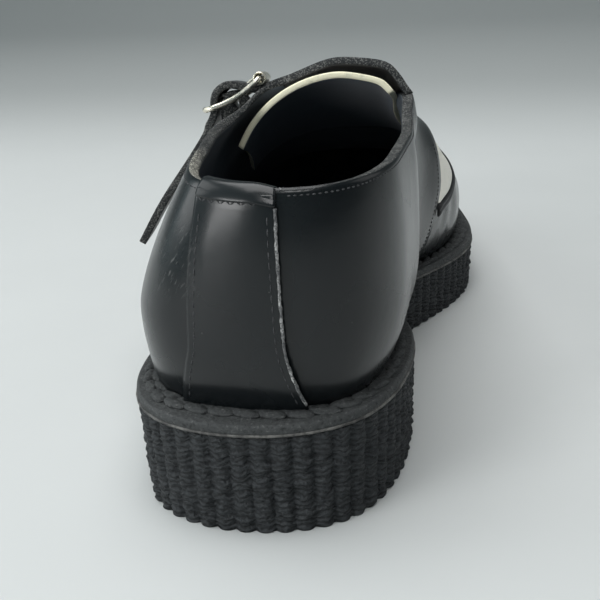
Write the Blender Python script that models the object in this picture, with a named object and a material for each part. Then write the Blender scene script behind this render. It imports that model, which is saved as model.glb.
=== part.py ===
"""Left creeper shoe: ribbed wedge sole, welt, hollow welted upper, apron front, strap and buckle.

Sizes are millimetres in the shoe's own axes: x towards the inner side of the foot, y from the
back of the heel to the toe, z up from the floor. MM turns them into metres at the end.
Lateral is the outer side of the foot (negative x), medial the inner side (positive x).
"""

import math
from collections import namedtuple

import bmesh
import bpy
import numpy as np
from mathutils import Vector

MM = 0.001

# Driving sizes of the sole
LENGTH = 305.0
BALL_WIDTH = 105.8
HEEL_WIDTH = 81.6
HEEL_HEIGHT = 34.0
BALL_HEIGHT = 22.6
TOE_SPRING = 9.0
ARCH_RISE = 1.2

# Sole construction
WELT_THICK = 3.4
WELT_TUCK = 0.2
WELT_CHAMFER = 0.6
RIB_COUNT = 118
RIB_DEPTH = 1.5
RIB_SHOULDERS = (0.28, 0.72)
SOLE_TAPER = 1.2
SOLE_RIM = 4.0
INSOLE_RISE = 3.0
INSOLE_PLAY = 0.9

# Clearance between neighbouring pieces, and leather thicknesses
GAP = 0.3
WALL = 2.0
QUARTER_STEP = 1.3
APRON_THICK = 1.3
OVERLAY_GAP = 0.5
BACKSTAY_THICK = 1.1
TONGUE_THICK = 2.2
STRAP_THICK = 2.6

# Height of the upper
HEEL_BACK_HEIGHT = 96.2
INSTEP_HEIGHT = 111.0

# Lengthwise places on the upper
HEEL_CENTRE = 45.0
TOE_CENTRE = 235.0
QUARTER_FRONT = 150.0
QUARTER_EDGE = 0.15
QUARTER_PLACES = (55.5, 66.0, 76.5, 87.0, 94.0, 100.0, 104.0, 108.0, 113.0, 120.0, 129.0, 139.5)
APRON_SETBACK = 0.6
TONGUE_BACK = 103.0
TONGUE_FRONT = 160.0
TONGUE_HANG = 13.0

# Sole edge seen from above, clockwise from the back of the heel, with the width of welt that shows
Edge = namedtuple("Edge", "x y welt")
OUTLINE = (
    Edge(0.000 * HEEL_WIDTH, 0.000 * LENGTH, 12.0),
    Edge(-0.362 * HEEL_WIDTH, 0.033 * LENGTH, 10.0),
    Edge(-0.500 * HEEL_WIDTH, 0.125 * LENGTH, 6.4),
    Edge(-0.372 * BALL_WIDTH, 0.279 * LENGTH, 6.0),
    Edge(-0.385 * BALL_WIDTH, 0.410 * LENGTH, 6.0),
    Edge(-0.491 * BALL_WIDTH, 0.600 * LENGTH, 7.0),
    Edge(-0.412 * BALL_WIDTH, 0.800 * LENGTH, 7.5),
    Edge(-0.232 * BALL_WIDTH, 0.945 * LENGTH, 8.5),
    Edge(0.038 * BALL_WIDTH, 1.000 * LENGTH, 8.5),
    Edge(0.302 * BALL_WIDTH, 0.945 * LENGTH, 8.5),
    Edge(0.466 * BALL_WIDTH, 0.800 * LENGTH, 7.5),
    Edge(0.509 * BALL_WIDTH, 0.618 * LENGTH, 7.5),
    Edge(0.268 * BALL_WIDTH, 0.413 * LENGTH, 4.0),
    Edge(0.348 * BALL_WIDTH, 0.272 * LENGTH, 8.6),
    Edge(0.497 * HEEL_WIDTH, 0.163 * LENGTH, 7.9),
    Edge(0.362 * HEEL_WIDTH, 0.041 * LENGTH, 7.7),
)

# Underside and welt top of the sole along its length
Level = namedtuple("Level", "y floor top")
SOLE_LEVELS = (
    Level(0.00 * LENGTH, 0.0, HEEL_HEIGHT),
    Level(0.16 * LENGTH, 0.0, HEEL_HEIGHT - 0.4),
    Level(0.33 * LENGTH, ARCH_RISE, 29.6),
    Level(0.45 * LENGTH, ARCH_RISE, 26.0),
    Level(0.58 * LENGTH, 0.0, BALL_HEIGHT + 0.6),
    Level(0.70 * LENGTH, 0.0, BALL_HEIGHT),
    Level(0.86 * LENGTH, 0.33 * TOE_SPRING, BALL_HEIGHT + 1.8),
    Level(1.00 * LENGTH, TOE_SPRING, BALL_HEIGHT + 6.0),
)

# Cross sections of the last: ridge place and height, swell of each wall past the feather edge,
# height of the fullest point above the welt, and fullness power of each half section
Section = namedtuple("Section", "y ridge_x ridge_z lateral medial rise lateral_power medial_power")
SECTIONS = (
    Section(HEEL_CENTRE, 9.0, 127.0, 2.6, 7.0, 22.0, 1.30, 3.0),
    Section(75.0, 10.0, 126.0, 4.5, 10.3, 25.0, 1.45, 4.0),
    Section(92.0, 13.5, 119.0, 5.0, 12.0, 27.0, 1.65, 4.6),
    Section(107.0, 17.0, INSTEP_HEIGHT, 4.5, 13.0, 28.0, 2.05, 4.6),
    Section(QUARTER_FRONT, 13.0, 89.5, 3.5, 10.5, 24.0, 2.15, 3.4),
    Section(190.0, 8.0, 70.5, 3.0, 3.7, 17.0, 2.20, 2.5),
    Section(TOE_CENTRE, 5.0, 57.0, 2.0, 2.3, 14.0, 2.40, 2.45),
)
HEEL_BACK_SWELL = 5.0
HEEL_BACK_POWER = 2.5
TOE_SWELL = 1.5
TOE_POWER = 2.7
TOE_CROWD = 0.62

# Height of the collar and throat edge along the shoe, and how far the lateral edge tucks under the strap
Topline = namedtuple("Topline", "y lateral medial tuck")
TOPLINE = (
    Topline(10.0, HEEL_BACK_HEIGHT, HEEL_BACK_HEIGHT, 0.0),
    Topline(HEEL_CENTRE, 97.2, 97.0, 0.0),
    Topline(75.0, 97.5, 98.0, 0.0),
    Topline(88.0, 97.9, 99.8, 0.0),
    Topline(97.0, 99.8, 101.2, 1.4),
    Topline(106.5, 106.2, 102.5, 2.3),
    Topline(112.0, 104.4, 101.9, 2.3),
    Topline(125.0, 97.5, 98.5, 0.6),
    Topline(QUARTER_FRONT, 85.5, 86.0, 0.0),
)
TUCK_START = 1.45
TUCK_INSIDE = 0.15

# Level of a half section near its collar edge, which tells how far along the shoe the edge is there
NEAR_TOP = 1.6

# White apron across the vamp: how far forward it reaches at each lean of the wall, from the fullest
# point (0 degrees) to the ridge (90 degrees)
Front = namedtuple("Front", "lean y")
APRON_FRONT = (
    Front(4.0, 152.0),
    Front(10.0, 163.0),
    Front(18.0, 172.0),
    Front(26.0, 179.0),
    Front(34.0, 181.0),
    Front(42.0, 178.0),
    Front(50.0, 168.0),
    Front(60.0, 161.0),
    Front(90.0, 158.0),
)
APRON_STEPS = 26
STEEPEST_LEAN = 89.9

# Double ridged band along the apron's front edge: distance from the edge and lift off the vamp
BAND_PROFILE = ((0.4, 0.9), (0.9, 2.0), (2.0, 2.4), (3.1, 1.6), (4.2, 2.2), (5.4, 1.8), (6.0, 0.9))

# Heel strip: turn about the heel centre of its two seams, from the lateral side, in degrees
BACKSTAY_TOP = (56.0, 92.0)
BACKSTAY_FOOT = (47.0, 101.0)
BINDING_HEIGHT = 2.0
BINDING_OVERHANG = 0.9
BINDING_LIFT = 0.8
BACKSTAY_STOP = 1.6
BACKSTAY_START = 0.05

# Strap across the instep, then through the buckle to its free tip
Crossing = namedtuple("Crossing", "side reach lift back width")
STRAP_OVER = (
    Crossing("medial", 0.02, -1.3, 104.0, 40.0),
    Crossing("medial", 0.30, -1.0, 104.0, 38.5),
    Crossing("medial", 0.65, -0.4, 104.5, 36.0),
    Crossing("medial", 1.00, 0.2, 105.0, 32.0),
    Crossing("lateral", 0.88, 0.2, 105.3, 28.5),
    Crossing("lateral", 0.74, -0.7, 105.9, 24.5),
    Crossing("lateral", 0.60, -1.1, 106.6, 21.0),
)
Bend = namedtuple("Bend", "x z back drop")
STRAP_END = (
    Bend(-7.8, 106.3, 107.2, 3.1),
    Bend(-13.0, 104.3, 107.4, 3.1),
    Bend(-18.4, 105.5, 106.5, 3.0),
    Bend(-24.0, 106.5, 105.4, 3.0),
    Bend(-27.6, 104.2, 104.7, 3.0),
    Bend(-28.7, 100.8, 104.4, 3.0),
    Bend(-28.7, 97.8, 104.3, 3.0),
    Bend(-29.7, 95.0, 104.1, 2.9),
    Bend(-31.0, 93.0, 103.9, 2.7),
    Bend(-32.3, 89.6, 103.7, 2.4),
    Bend(-39.2, 79.9, 102.8, 2.0),
    Bend(-49.0, 66.8, 101.3, 1.4),
    Bend(-57.8, 52.4, 99.8, 0.8),
)
STRAP_WIDTH = 19.0
STRAP_TURN = 0.12
STRAP_START = 1.3
LATERAL_REACH = 1.45

# Buckle frame: middles of its two end bars, and its size
BUCKLE_RIGHT = (-14.2, 117.0, 106.5)
BUCKLE_LEFT = (-33.0, 113.2, 96.9)
BUCKLE_CROSS = (-STRAP_TURN, 1.0, -0.16)
BUCKLE_WIDTH = 26.0
BUCKLE_CORNER = 3.2
BUCKLE_SAG = 1.7
BUCKLE_BAR = 1.1
ROLLER_CORNER = 1.8
ROLLER_RADIUS = 1.95
ROLLER_PLAY = 0.3
PRONG_BAR = 0.7
PRONG_TIP = 0.6
PRONG_TIP_DROP = 0.3
PRONG_TAIL = 4.0
TAB_WIDTH = 17.0
TAB_THICK = 1.5
TAB_FEET = (1.43, 1.530, 1.533, 1.60)
BUCKLE_METAL = ((0.78, 0.73, 0.60), 0.22, 1.0)

Station = namedtuple("Station", "centre toward foot swell foot_z swell_z ridge_z power y side")


def column(table, name, y):
    """Smooth value of a table's column at a place in its first column, with no overshoot between rows."""
    ys = [row[0] for row in table]
    values = [getattr(row, name) for row in table]
    if y <= ys[0]:
        return values[0]
    if y >= ys[-1]:
        return values[-1]
    slopes = []
    for i in range(len(ys)):
        if i in (0, len(ys) - 1):
            slopes.append(0.0)
            continue
        before = (values[i] - values[i - 1]) / (ys[i] - ys[i - 1])
        after = (values[i + 1] - values[i]) / (ys[i + 1] - ys[i])
        slopes.append(0.0 if before * after <= 0 else 2 * before * after / (before + after))
    i = next(k for k in range(len(ys) - 1) if y <= ys[k + 1])
    step = ys[i + 1] - ys[i]
    t = (y - ys[i]) / step
    rise = values[i + 1] - values[i]
    ease = 3 * t ** 2 - 2 * t ** 3
    return (values[i] + rise * ease + step * slopes[i] * (t - 2 * t ** 2 + t ** 3)
            + step * slopes[i + 1] * (t ** 3 - t ** 2))


def smooth_loop(rows, count):
    """Closed cubic curve through the rows, sampled at equal steps of length in its first two columns."""
    points = np.array(rows, dtype=float)
    total = len(points)
    following = np.roll(points, -1, axis=0)
    steps = np.sqrt(np.linalg.norm((following - points)[:, :2], axis=1))
    matrix = np.zeros((total, total))
    right = np.zeros_like(points)
    for i in range(total):
        before = steps[i - 1]
        after = steps[i]
        matrix[i, i - 1] += before
        matrix[i, i] += 2 * (before + after)
        matrix[i, (i + 1) % total] += after
        right[i] = 6 * ((following[i] - points[i]) / after - (points[i] - points[i - 1]) / before)
    bend = np.linalg.solve(matrix, right)
    dense = []
    for i in range(total):
        j = (i + 1) % total
        h = steps[i]
        for s in np.linspace(0, h, 60, endpoint=False):
            a = (h - s) / h
            b = s / h
            dense.append(a * points[i] + b * points[j]
                         + ((a ** 3 - a) * bend[i] + (b ** 3 - b) * bend[j]) * h * h / 6)
    dense = np.array(dense + [dense[0]])
    lengths = np.concatenate(([0.0], np.cumsum(np.linalg.norm(np.diff(dense[:, :2], axis=0), axis=1))))
    marks = np.linspace(0, lengths[-1], count, endpoint=False)
    return np.column_stack([np.interp(marks, lengths, dense[:, k]) for k in range(dense.shape[1])])


def outward(loop):
    """Outward directions of a clockwise loop of plan points."""
    along = np.roll(loop[:, :2], -1, axis=0) - np.roll(loop[:, :2], 1, axis=0)
    along /= np.linalg.norm(along, axis=1)[:, None]
    return np.column_stack([-along[:, 1], along[:, 0]])


def sole_loop(count):
    """Plan points of the sole edge, their outward directions and the welt width at each."""
    loop = smooth_loop(OUTLINE, count)
    return loop[:, :2], outward(loop), loop[:, 2]


def feather_loop(count, inset=0.0):
    """Plan points of the feather edge, where the upper meets the welt."""
    edge, out, welt = sole_loop(count)
    return edge - out * (welt + inset)[:, None]


FEATHER = feather_loop(720)


def reach(centre, toward):
    """Distance from a plan point to the feather edge in one direction."""
    start = FEATHER - np.array(centre)
    end = np.roll(start, -1, axis=0)
    across_start = start[:, 0] * toward[1] - start[:, 1] * toward[0]
    across_end = end[:, 0] * toward[1] - end[:, 1] * toward[0]
    along_start = start @ np.array(toward)
    along_end = end @ np.array(toward)
    best = 0.0
    for i in np.nonzero(across_start * across_end <= 0)[0]:
        share = across_start[i] / (across_start[i] - across_end[i] + 1e-12)
        best = max(best, along_start[i] + share * (along_end[i] - along_start[i]))
    return best


def make_station(y, toward, swell, power, side):
    """Half section of the last, running out from its ridge in one plan direction."""
    centre = (column(SECTIONS, "ridge_x", y), y)
    foot = reach(centre, toward)
    foot_z = column(SOLE_LEVELS, "top", y + toward[1] * foot) + GAP
    swell_z = foot_z + column(SECTIONS, "rise", y)
    ridge_z = column(SECTIONS, "ridge_z", y)
    return Station(centre, toward, foot, foot + swell, foot_z, swell_z, ridge_z, power, y, side)


def side_station(y, side):
    """Half section across the shoe at the length y."""
    sign = 1.0 if side == "medial" else -1.0
    return make_station(y, (sign, 0.0), column(SECTIONS, side, y), column(SECTIONS, side + "_power", y), side)


def fan_station(y, turn, start_side, end_side, end_sign, end_swell, end_power):
    """Half section turned about the heel or toe centre, from one side to the other, in degrees."""
    angle = math.radians(turn)
    side = start_side if turn <= 90 else end_side
    share = math.sin(angle) ** 2
    swell = column(SECTIONS, side, y) * (1 - share) + end_swell * share
    power = column(SECTIONS, side + "_power", y) * (1 - share ** 2) + end_power * share ** 2
    first = -1.0 if start_side == "lateral" else 1.0
    toward = (first * math.cos(angle), end_sign * math.sin(angle))
    return make_station(y, toward, swell, power, side)


def heel_station(turn):
    """Heel half section: 0 degrees lateral, 90 straight back, 180 medial."""
    return fan_station(HEEL_CENTRE, turn, "lateral", "medial", -1.0, HEEL_BACK_SWELL, HEEL_BACK_POWER)


def toe_station(turn):
    """Toe half section: 0 degrees medial, 90 straight ahead, 180 lateral."""
    return fan_station(TOE_CENTRE, turn, "medial", "lateral", 1.0, TOE_SWELL, TOE_POWER)


def toe_turns():
    """Turns of the toe half sections, closer together towards the tip, where the toe bends most."""
    return [90.0 + 90.0 * (TOE_CROWD * t + (1.0 - TOE_CROWD) * t ** 3) for t in np.linspace(-1, 1, 21)]


def wall_point(station, level, lift=0.0):
    """Point of the last's surface, lifted off it: level 0 feather edge, 1 fullest point, 2 ridge."""
    if level <= 1.0:
        left = 1.0 - level
        gain = station.swell - station.foot
        height = station.swell_z - station.foot_z
        out = station.foot + gain * (1.0 - left ** 2)
        z = station.foot_z + height * level
        normal = (1.0, 0.0) if level == 0 else (height, -2.0 * gain * left)
    else:
        angle = (level - 1.0) * math.pi / 2
        cosine = max(math.cos(angle), 0.0) ** (2.0 / station.power)
        sine = math.sin(angle) ** (2.0 / station.power)
        height = station.ridge_z - station.swell_z
        out = station.swell * cosine
        z = station.swell_z + height * sine
        normal = (cosine ** (station.power - 1) / station.swell, sine ** (station.power - 1) / height)
    size = math.hypot(*normal)
    out += lift * normal[0] / size
    z += lift * normal[1] / size
    return np.array((station.centre[0] + station.toward[0] * out,
                     station.centre[1] + station.toward[1] * out, z))


def level_at_height(station, z):
    """Level of the half section at a height above the floor."""
    if z <= station.swell_z:
        return max(0.0, (z - station.foot_z) / (station.swell_z - station.foot_z))
    share = min((z - station.swell_z) / (station.ridge_z - station.swell_z), 1.0)
    return 1.0 + math.asin(share ** (station.power / 2.0)) * 2.0 / math.pi


def top_level(station):
    """Level of the collar or throat edge on a half section."""
    y = wall_point(station, NEAR_TOP)[1]
    return level_at_height(station, column(TOPLINE, station.side, y))


def level_step(station, level, distance):
    """Level reached from another one by walking a distance along the wall, down if negative."""
    probe = 0.002
    length = np.linalg.norm(wall_point(station, level + probe) - wall_point(station, level - probe))
    return level + distance * 2 * probe / length


def quarter_tuck(station, level):
    """How far a lateral quarter drops towards its top edge, where the strap lies over it."""
    edge = top_level(station)
    if station.side == "medial" or level <= TUCK_START or edge <= TUCK_START:
        return 0.0
    share = (level - TUCK_START) / (edge - TUCK_START)
    return column(TOPLINE, "tuck", station.y) * (3 * share ** 2 - 2 * share ** 3)


def finish_solid(name, points, faces, material, smooth_angle=35.0):
    """Closed body from points in millimetres, welded, facing outwards and shaded smooth."""
    mesh = bpy.data.meshes.new(name)
    mesh.from_pydata([Vector(p) * MM for p in points], [], faces)
    shape = bmesh.new()
    shape.from_mesh(mesh)
    bmesh.ops.remove_doubles(shape, verts=shape.verts, dist=0.01 * MM)
    bmesh.ops.triangulate(shape, faces=shape.faces)
    bmesh.ops.recalc_face_normals(shape, faces=shape.faces)
    shape.to_mesh(mesh)
    shape.free()
    mesh.shade_smooth()
    mesh.set_sharp_from_angle(angle=math.radians(smooth_angle))
    mesh.materials.append(material)
    body = bpy.data.objects.new(name, mesh)
    bpy.context.scene.collection.objects.link(body)
    return body


def paint(name, colour, roughness, metallic=0.0):
    """Principled material of one piece."""
    material = bpy.data.materials.new(name)
    material.use_nodes = True
    shader = material.node_tree.nodes["Principled BSDF"]
    shader.inputs["Base Color"].default_value = (*colour, 1.0)
    shader.inputs["Roughness"].default_value = roughness
    shader.inputs["Metallic"].default_value = metallic
    return material


def sheet_solid(name, outer, inner, material):
    """Closed sheet from two matching grids of points, rows by columns."""
    rows = len(outer)
    columns = len(outer[0])
    points = [p for grid in (outer, inner) for row in grid for p in row]
    back = rows * columns
    faces = []
    for i in range(rows - 1):
        for j in range(columns - 1):
            quad = (i * columns + j, i * columns + j + 1, (i + 1) * columns + j + 1, (i + 1) * columns + j)
            faces.append(quad)
            faces.append(tuple(k + back for k in reversed(quad)))
    ring = [j for j in range(columns)]
    ring += [i * columns + columns - 1 for i in range(1, rows)]
    ring += [(rows - 1) * columns + j for j in range(columns - 2, -1, -1)]
    ring += [i * columns for i in range(rows - 2, 0, -1)]
    for a, b in zip(ring, ring[1:] + ring[:1]):
        faces.append((b, a, a + back, b + back))
    return finish_solid(name, points, faces, material)


def tube_solid(name, path, sections, material, closed):
    """Closed body swept along a path: one list of section points at each path place."""
    count = len(sections[0])
    places = len(path)
    points = [p for ring in sections for p in ring]
    faces = []
    for i in range(places if closed else places - 1):
        k = (i + 1) % places
        for j in range(count):
            m = (j + 1) % count
            faces.append((i * count + j, i * count + m, k * count + m, k * count + j))
    if not closed:
        faces.append(tuple(range(count)))
        faces.append(tuple(reversed(range((places - 1) * count, places * count))))
    return finish_solid(name, points, faces, material)


def round_bar(name, path, radius, material, closed=False, sides=8):
    """Round bar of one radius along a path of points."""
    path = [np.array(p, dtype=float) for p in path]
    total = len(path)
    normal = None
    sections = []
    for i, place in enumerate(path):
        ahead = path[(i + 1) % total] if closed else path[min(i + 1, total - 1)]
        behind = path[i - 1] if closed else path[max(i - 1, 0)]
        along = (ahead - behind) / np.linalg.norm(ahead - behind)
        seed = normal if normal is not None else np.array((0.0, 0.3, 1.0))
        normal = seed - along * (seed @ along)
        normal /= np.linalg.norm(normal)
        beside = np.cross(along, normal)
        turns = [2 * math.pi * k / sides for k in range(sides)]
        sections.append([place + radius * (math.cos(t) * normal + math.sin(t) * beside) for t in turns])
    return tube_solid(name, path, sections, material, closed)


def make_outsole():
    """Thick wedge sole whose side is a row of upright ribs."""
    pitch_shares = (0.0,) + RIB_SHOULDERS
    fine = 25
    edge, out, _ = sole_loop(RIB_COUNT * fine)
    inner = [edge[rib * fine] - out[rib * fine] * SOLE_RIM for rib in range(RIB_COUNT)]
    ends = len(pitch_shares)
    rim_count = RIB_COUNT * ends

    def floor(p):
        return column(SOLE_LEVELS, "floor", p[1])

    def top(p):
        return column(SOLE_LEVELS, "top", p[1]) - WELT_THICK - GAP

    points = []
    for height, taper in ((floor, SOLE_TAPER), (top, 0.0)):
        for rib in range(RIB_COUNT):
            for share in pitch_shares:
                k = rib * fine + round(share * fine)
                place = edge[k] - out[k] * (taper + (RIB_DEPTH if share == 0.0 else 0.0))
                points.append((*place, height(place)))
        points += [(*place, height(place)) for place in inner]
    layer = rim_count + RIB_COUNT
    faces = []
    for i in range(rim_count):
        k = (i + 1) % rim_count
        faces.append((i, k, k + layer, i + layer))
    for base in (0, layer):
        for rib in range(RIB_COUNT):
            after = (rib + 1) % RIB_COUNT
            here = base + rim_count + rib
            there = base + rim_count + after
            corners = [base + rib * ends + k for k in range(ends)] + [base + after * ends]
            faces.append((corners[0], corners[1], here))
            faces.append((corners[1], corners[2], there, here))
            faces.append((corners[2], corners[3], there))
        first = base + rim_count
        for i in range(RIB_COUNT // 2):
            left = first + i
            left_next = first + i + 1
            right = first + (RIB_COUNT - i) % RIB_COUNT
            right_next = first + RIB_COUNT - i - 1
            faces.append((left, left_next, right_next, right))
    faces = [tuple(dict.fromkeys(face)) for face in faces]
    faces = [face for face in faces if len(face) > 2]
    rubber = paint("sole_rubber", (0.030, 0.031, 0.032), 0.85)
    return finish_solid("outsole", points, faces, rubber, 25.0)


def make_welt():
    """Flat strip around the upper, flush with the sole edge."""
    edge, out, _ = sole_loop(RIB_COUNT)
    inner = feather_loop(RIB_COUNT, WALL + WELT_TUCK)
    sections = []
    for i in range(RIB_COUNT):
        top = column(SOLE_LEVELS, "top", edge[i][1])
        inner_top = column(SOLE_LEVELS, "top", inner[i][1])
        eased = edge[i] - out[i] * WELT_CHAMFER
        sections.append([
            (*edge[i], top - WELT_THICK),
            (*edge[i], top - WELT_CHAMFER),
            (*eased, top),
            (*inner[i], inner_top),
            (*inner[i], inner_top - WELT_THICK),
        ])
    leather = paint("welt_leather", (0.045, 0.042, 0.040), 0.8)
    return tube_solid("welt", edge, sections, leather, True)


def make_insole():
    """Footbed inside the welt and upper."""
    count = 60
    loop = feather_loop(count, WALL + INSOLE_PLAY)
    points = []
    for rise in (-WELT_THICK, INSOLE_RISE):
        points += [(p[0], p[1], column(SOLE_LEVELS, "top", p[1]) + rise) for p in loop]
    faces = []
    for i in range(count):
        k = (i + 1) % count
        faces.append((i, k, k + count, i + count))
    for base in (0, count):
        for i in range(count // 2):
            face = (base + i, base + i + 1, base + count - i - 1, base + (count - i) % count)
            faces.append(tuple(dict.fromkeys(face)))
    faces = [face for face in faces if len(face) > 2]
    lining = paint("insole_lining", (0.015, 0.015, 0.017), 0.7)
    return finish_solid("insole", points, faces, lining)


def upper_stations():
    """Half sections once around the shoe, from lateral heel over the back, inner side and toe."""
    vamp = [float(y) for y in np.linspace(QUARTER_FRONT, TOE_CENTRE, 10)]
    quarter_ys = [*QUARTER_PLACES, QUARTER_FRONT - QUARTER_EDGE]
    vamp_ys = [QUARTER_FRONT + QUARTER_EDGE] + vamp[1:-1]
    ring = [heel_station(turn) for turn in np.linspace(0, 180, 17)]
    ring += [side_station(y, "medial") for y in quarter_ys + vamp_ys]
    ring += [toe_station(turn) for turn in toe_turns()]
    ring += [side_station(y, "lateral") for y in reversed(quarter_ys + vamp_ys)]
    return ring


def make_upper():
    """One hollow shell of vamp and quarters, open at collar, throat and underneath."""
    ring = upper_stations()
    wall_levels = 7
    cap_levels = 6
    points = []
    rows = []
    for station in ring:
        is_quarter = station.y < QUARTER_FRONT
        edge_y = min(station.y, QUARTER_FRONT)
        edge = top_level(station) if is_quarter else top_level(side_station(edge_y, station.side))
        levels = [0.0, 0.5, 1.0]
        levels += [1.0 + (edge - 1.0) * k / (wall_levels - 2) for k in range(1, wall_levels - 1)]
        if not is_quarter:
            levels += [edge + (2.0 - edge) * k / cap_levels for k in range(1, cap_levels + 1)]
        row = []
        for lift, share in ((QUARTER_STEP if is_quarter else 0.0, 1.0), (-WALL, TUCK_INSIDE)):
            row.append(range(len(points), len(points) + len(levels)))
            for level in levels:
                tuck = quarter_tuck(station, level) * share if is_quarter else 0.0
                points.append(wall_point(station, level, lift - tuck))
        rows.append((is_quarter, *row))
    faces = []
    total = len(rows)
    for i in range(total):
        quarter, outer, inner = rows[i]
        next_quarter, next_outer, next_inner = rows[(i + 1) % total]
        shared = min(len(outer), len(next_outer))
        for k in range(shared - 1):
            faces.append((outer[k], outer[k + 1], next_outer[k + 1], next_outer[k]))
            faces.append((inner[k], next_inner[k], next_inner[k + 1], inner[k + 1]))
        faces.append((outer[0], next_outer[0], next_inner[0], inner[0]))
        edge = wall_levels
        if quarter or next_quarter:
            faces.append((outer[edge], inner[edge], next_inner[edge], next_outer[edge]))
        if quarter != next_quarter:
            long_outer, long_inner = (next_outer, next_inner) if quarter else (outer, inner)
            for k in range(edge, len(long_outer) - 1):
                faces.append((long_outer[k], long_outer[k + 1], long_inner[k + 1], long_inner[k]))
    leather = paint("upper_leather", (0.012, 0.013, 0.015), 0.28)
    return finish_solid("upper", points, faces, leather, 40.0)


def vamp_point(side, lean, y, lift=0.0):
    """Point of the vamp at a lean of its wall and a length, lifted off it."""
    station = side_station(y, side)
    rise = math.tan(math.radians(min(lean, STEEPEST_LEAN)))
    if rise > 0.0:
        level = 1.0 + math.atan(rise ** (station.power / 2.0)) * 2.0 / math.pi
    else:
        level = level_at_height(station, station.swell_z + rise * (station.ridge_z - station.swell_z))
    return wall_point(station, level, lift)


def apron_edge():
    """Side, lean and length along the apron's front edge, from the medial foot over to the lateral foot."""
    leans = np.linspace(APRON_FRONT[0].lean, APRON_FRONT[-1].lean, APRON_STEPS)
    edge = [("medial", lean) for lean in leans]
    edge += [("lateral", lean) for lean in reversed(leans[:-1])]
    return [(side, float(lean), column(APRON_FRONT, "y", lean)) for side, lean in edge]


def make_apron():
    """White panel across the vamp in front of the quarters, with a wing forward on each side."""
    back = QUARTER_FRONT + APRON_SETBACK
    grids = []
    for lift in (OVERLAY_GAP + APRON_THICK, OVERLAY_GAP):
        grids.append([[vamp_point(side, lean, back + (front - back) * share, lift)
                       for share in np.linspace(0.0, 1.0, 6)] for side, lean, front in apron_edge()])
    leather = paint("apron_leather", (0.80, 0.76, 0.68), 0.45)
    return sheet_solid("apron", *grids, leather)


def make_apron_band():
    """Double ridged band along the apron's front edge."""
    probe = 1.0
    edge = apron_edge()
    along = np.gradient(np.array([vamp_point(*place) for place in edge]), axis=0)
    under = [(BAND_PROFILE[k][0], OVERLAY_GAP) for k in (-1, 3, 0)]
    sections = []
    for (side, lean, y), direction in zip(edge, along):
        place = vamp_point(side, lean, y)
        up = place - vamp_point(side, lean - probe, y)
        ahead = vamp_point(side, lean, y + probe) - place
        outside = np.cross(ahead, up) if side == "medial" else np.cross(up, ahead)
        square = np.cross(direction, outside)
        square /= np.linalg.norm(square)
        step = np.linalg.lstsq(np.column_stack((up, ahead)), square, rcond=None)[0] * probe
        sections.append([vamp_point(side, lean + step[0] * away, y + step[1] * away, lift)
                         for away, lift in (*BAND_PROFILE, *under)])
    leather = paint("band_leather", (0.014, 0.014, 0.016), 0.4)
    return tube_solid("apron_band", edge, sections, leather, False)


def make_tongue():
    """Tongue under the throat, hanging a little free of the lateral quarter."""
    medial_levels = np.linspace(0.50, 1.0, 7)
    outer = []
    inner = []
    for y in np.linspace(TONGUE_BACK, TONGUE_FRONT, 8):
        row_outer = []
        row_inner = []
        lateral = side_station(float(y), "lateral")
        medial = side_station(float(y), "medial")
        for share in medial_levels:
            level = 1.0 + share
            row_outer.append(wall_point(medial, level, -WALL - OVERLAY_GAP))
            row_inner.append(wall_point(medial, level, -WALL - OVERLAY_GAP - TONGUE_THICK))
        for share in np.linspace(0.94, 0.40, 10):
            level = 1.0 + share
            hang = WALL + OVERLAY_GAP + TONGUE_HANG * (1.0 - share) ** 2
            row_outer.append(wall_point(lateral, level, -hang))
            row_inner.append(wall_point(lateral, level, -hang - TONGUE_THICK))
        outer.append(row_outer)
        inner.append(row_inner)
    leather = paint("tongue_leather", (0.80, 0.76, 0.66), 0.5)
    return sheet_solid("tongue", outer, inner, leather)


def make_backstay():
    """Heel strip between two seams that spread towards the welt."""
    outer = []
    inner = []
    for share in np.linspace(0.0, 1.0, 9):
        left = BACKSTAY_FOOT[0] + (BACKSTAY_TOP[0] - BACKSTAY_FOOT[0]) * min(1.0, 1.6 * share)
        right = BACKSTAY_TOP[1] + (BACKSTAY_FOOT[1] - BACKSTAY_TOP[1]) * (1.0 - share) ** 2
        row_outer = []
        row_inner = []
        for turn in np.linspace(left, right, 8):
            station = heel_station(float(turn))
            stop = level_step(station, top_level(station), -BACKSTAY_STOP)
            level = BACKSTAY_START + (stop - BACKSTAY_START) * share
            row_outer.append(wall_point(station, level, QUARTER_STEP + OVERLAY_GAP + BACKSTAY_THICK))
            row_inner.append(wall_point(station, level, QUARTER_STEP + OVERLAY_GAP))
        outer.append(row_outer)
        inner.append(row_inner)
    leather = paint("backstay_leather", (0.012, 0.013, 0.015), 0.25)
    return sheet_solid("backstay", outer, inner, leather)


def make_heel_binding():
    """Rolled binding over the collar edge between the heel seams."""
    outside = QUARTER_STEP + OVERLAY_GAP + BACKSTAY_THICK
    inside = -WALL - BINDING_OVERHANG
    middle = (outside + inside) / 2
    half = (outside - inside) / 2
    sections = []
    turns = np.linspace(BACKSTAY_TOP[0], BACKSTAY_TOP[1], 9)
    for turn in turns:
        station = heel_station(float(turn))
        edge = wall_point(station, top_level(station))
        out = np.array((*station.toward, 0.0))
        foot = edge + np.array((0.0, 0.0, BINDING_LIFT))
        ring = []
        for k in range(7):
            angle = math.pi * k / 6
            ring.append(foot + out * (middle + half * math.cos(angle))
                        + np.array((0.0, 0.0, BINDING_HEIGHT * math.sin(angle))))
        sections.append(ring)
    leather = paint("binding_leather", (0.016, 0.016, 0.018), 0.2)
    return tube_solid("heel_binding", turns, sections, leather, False)


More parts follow.
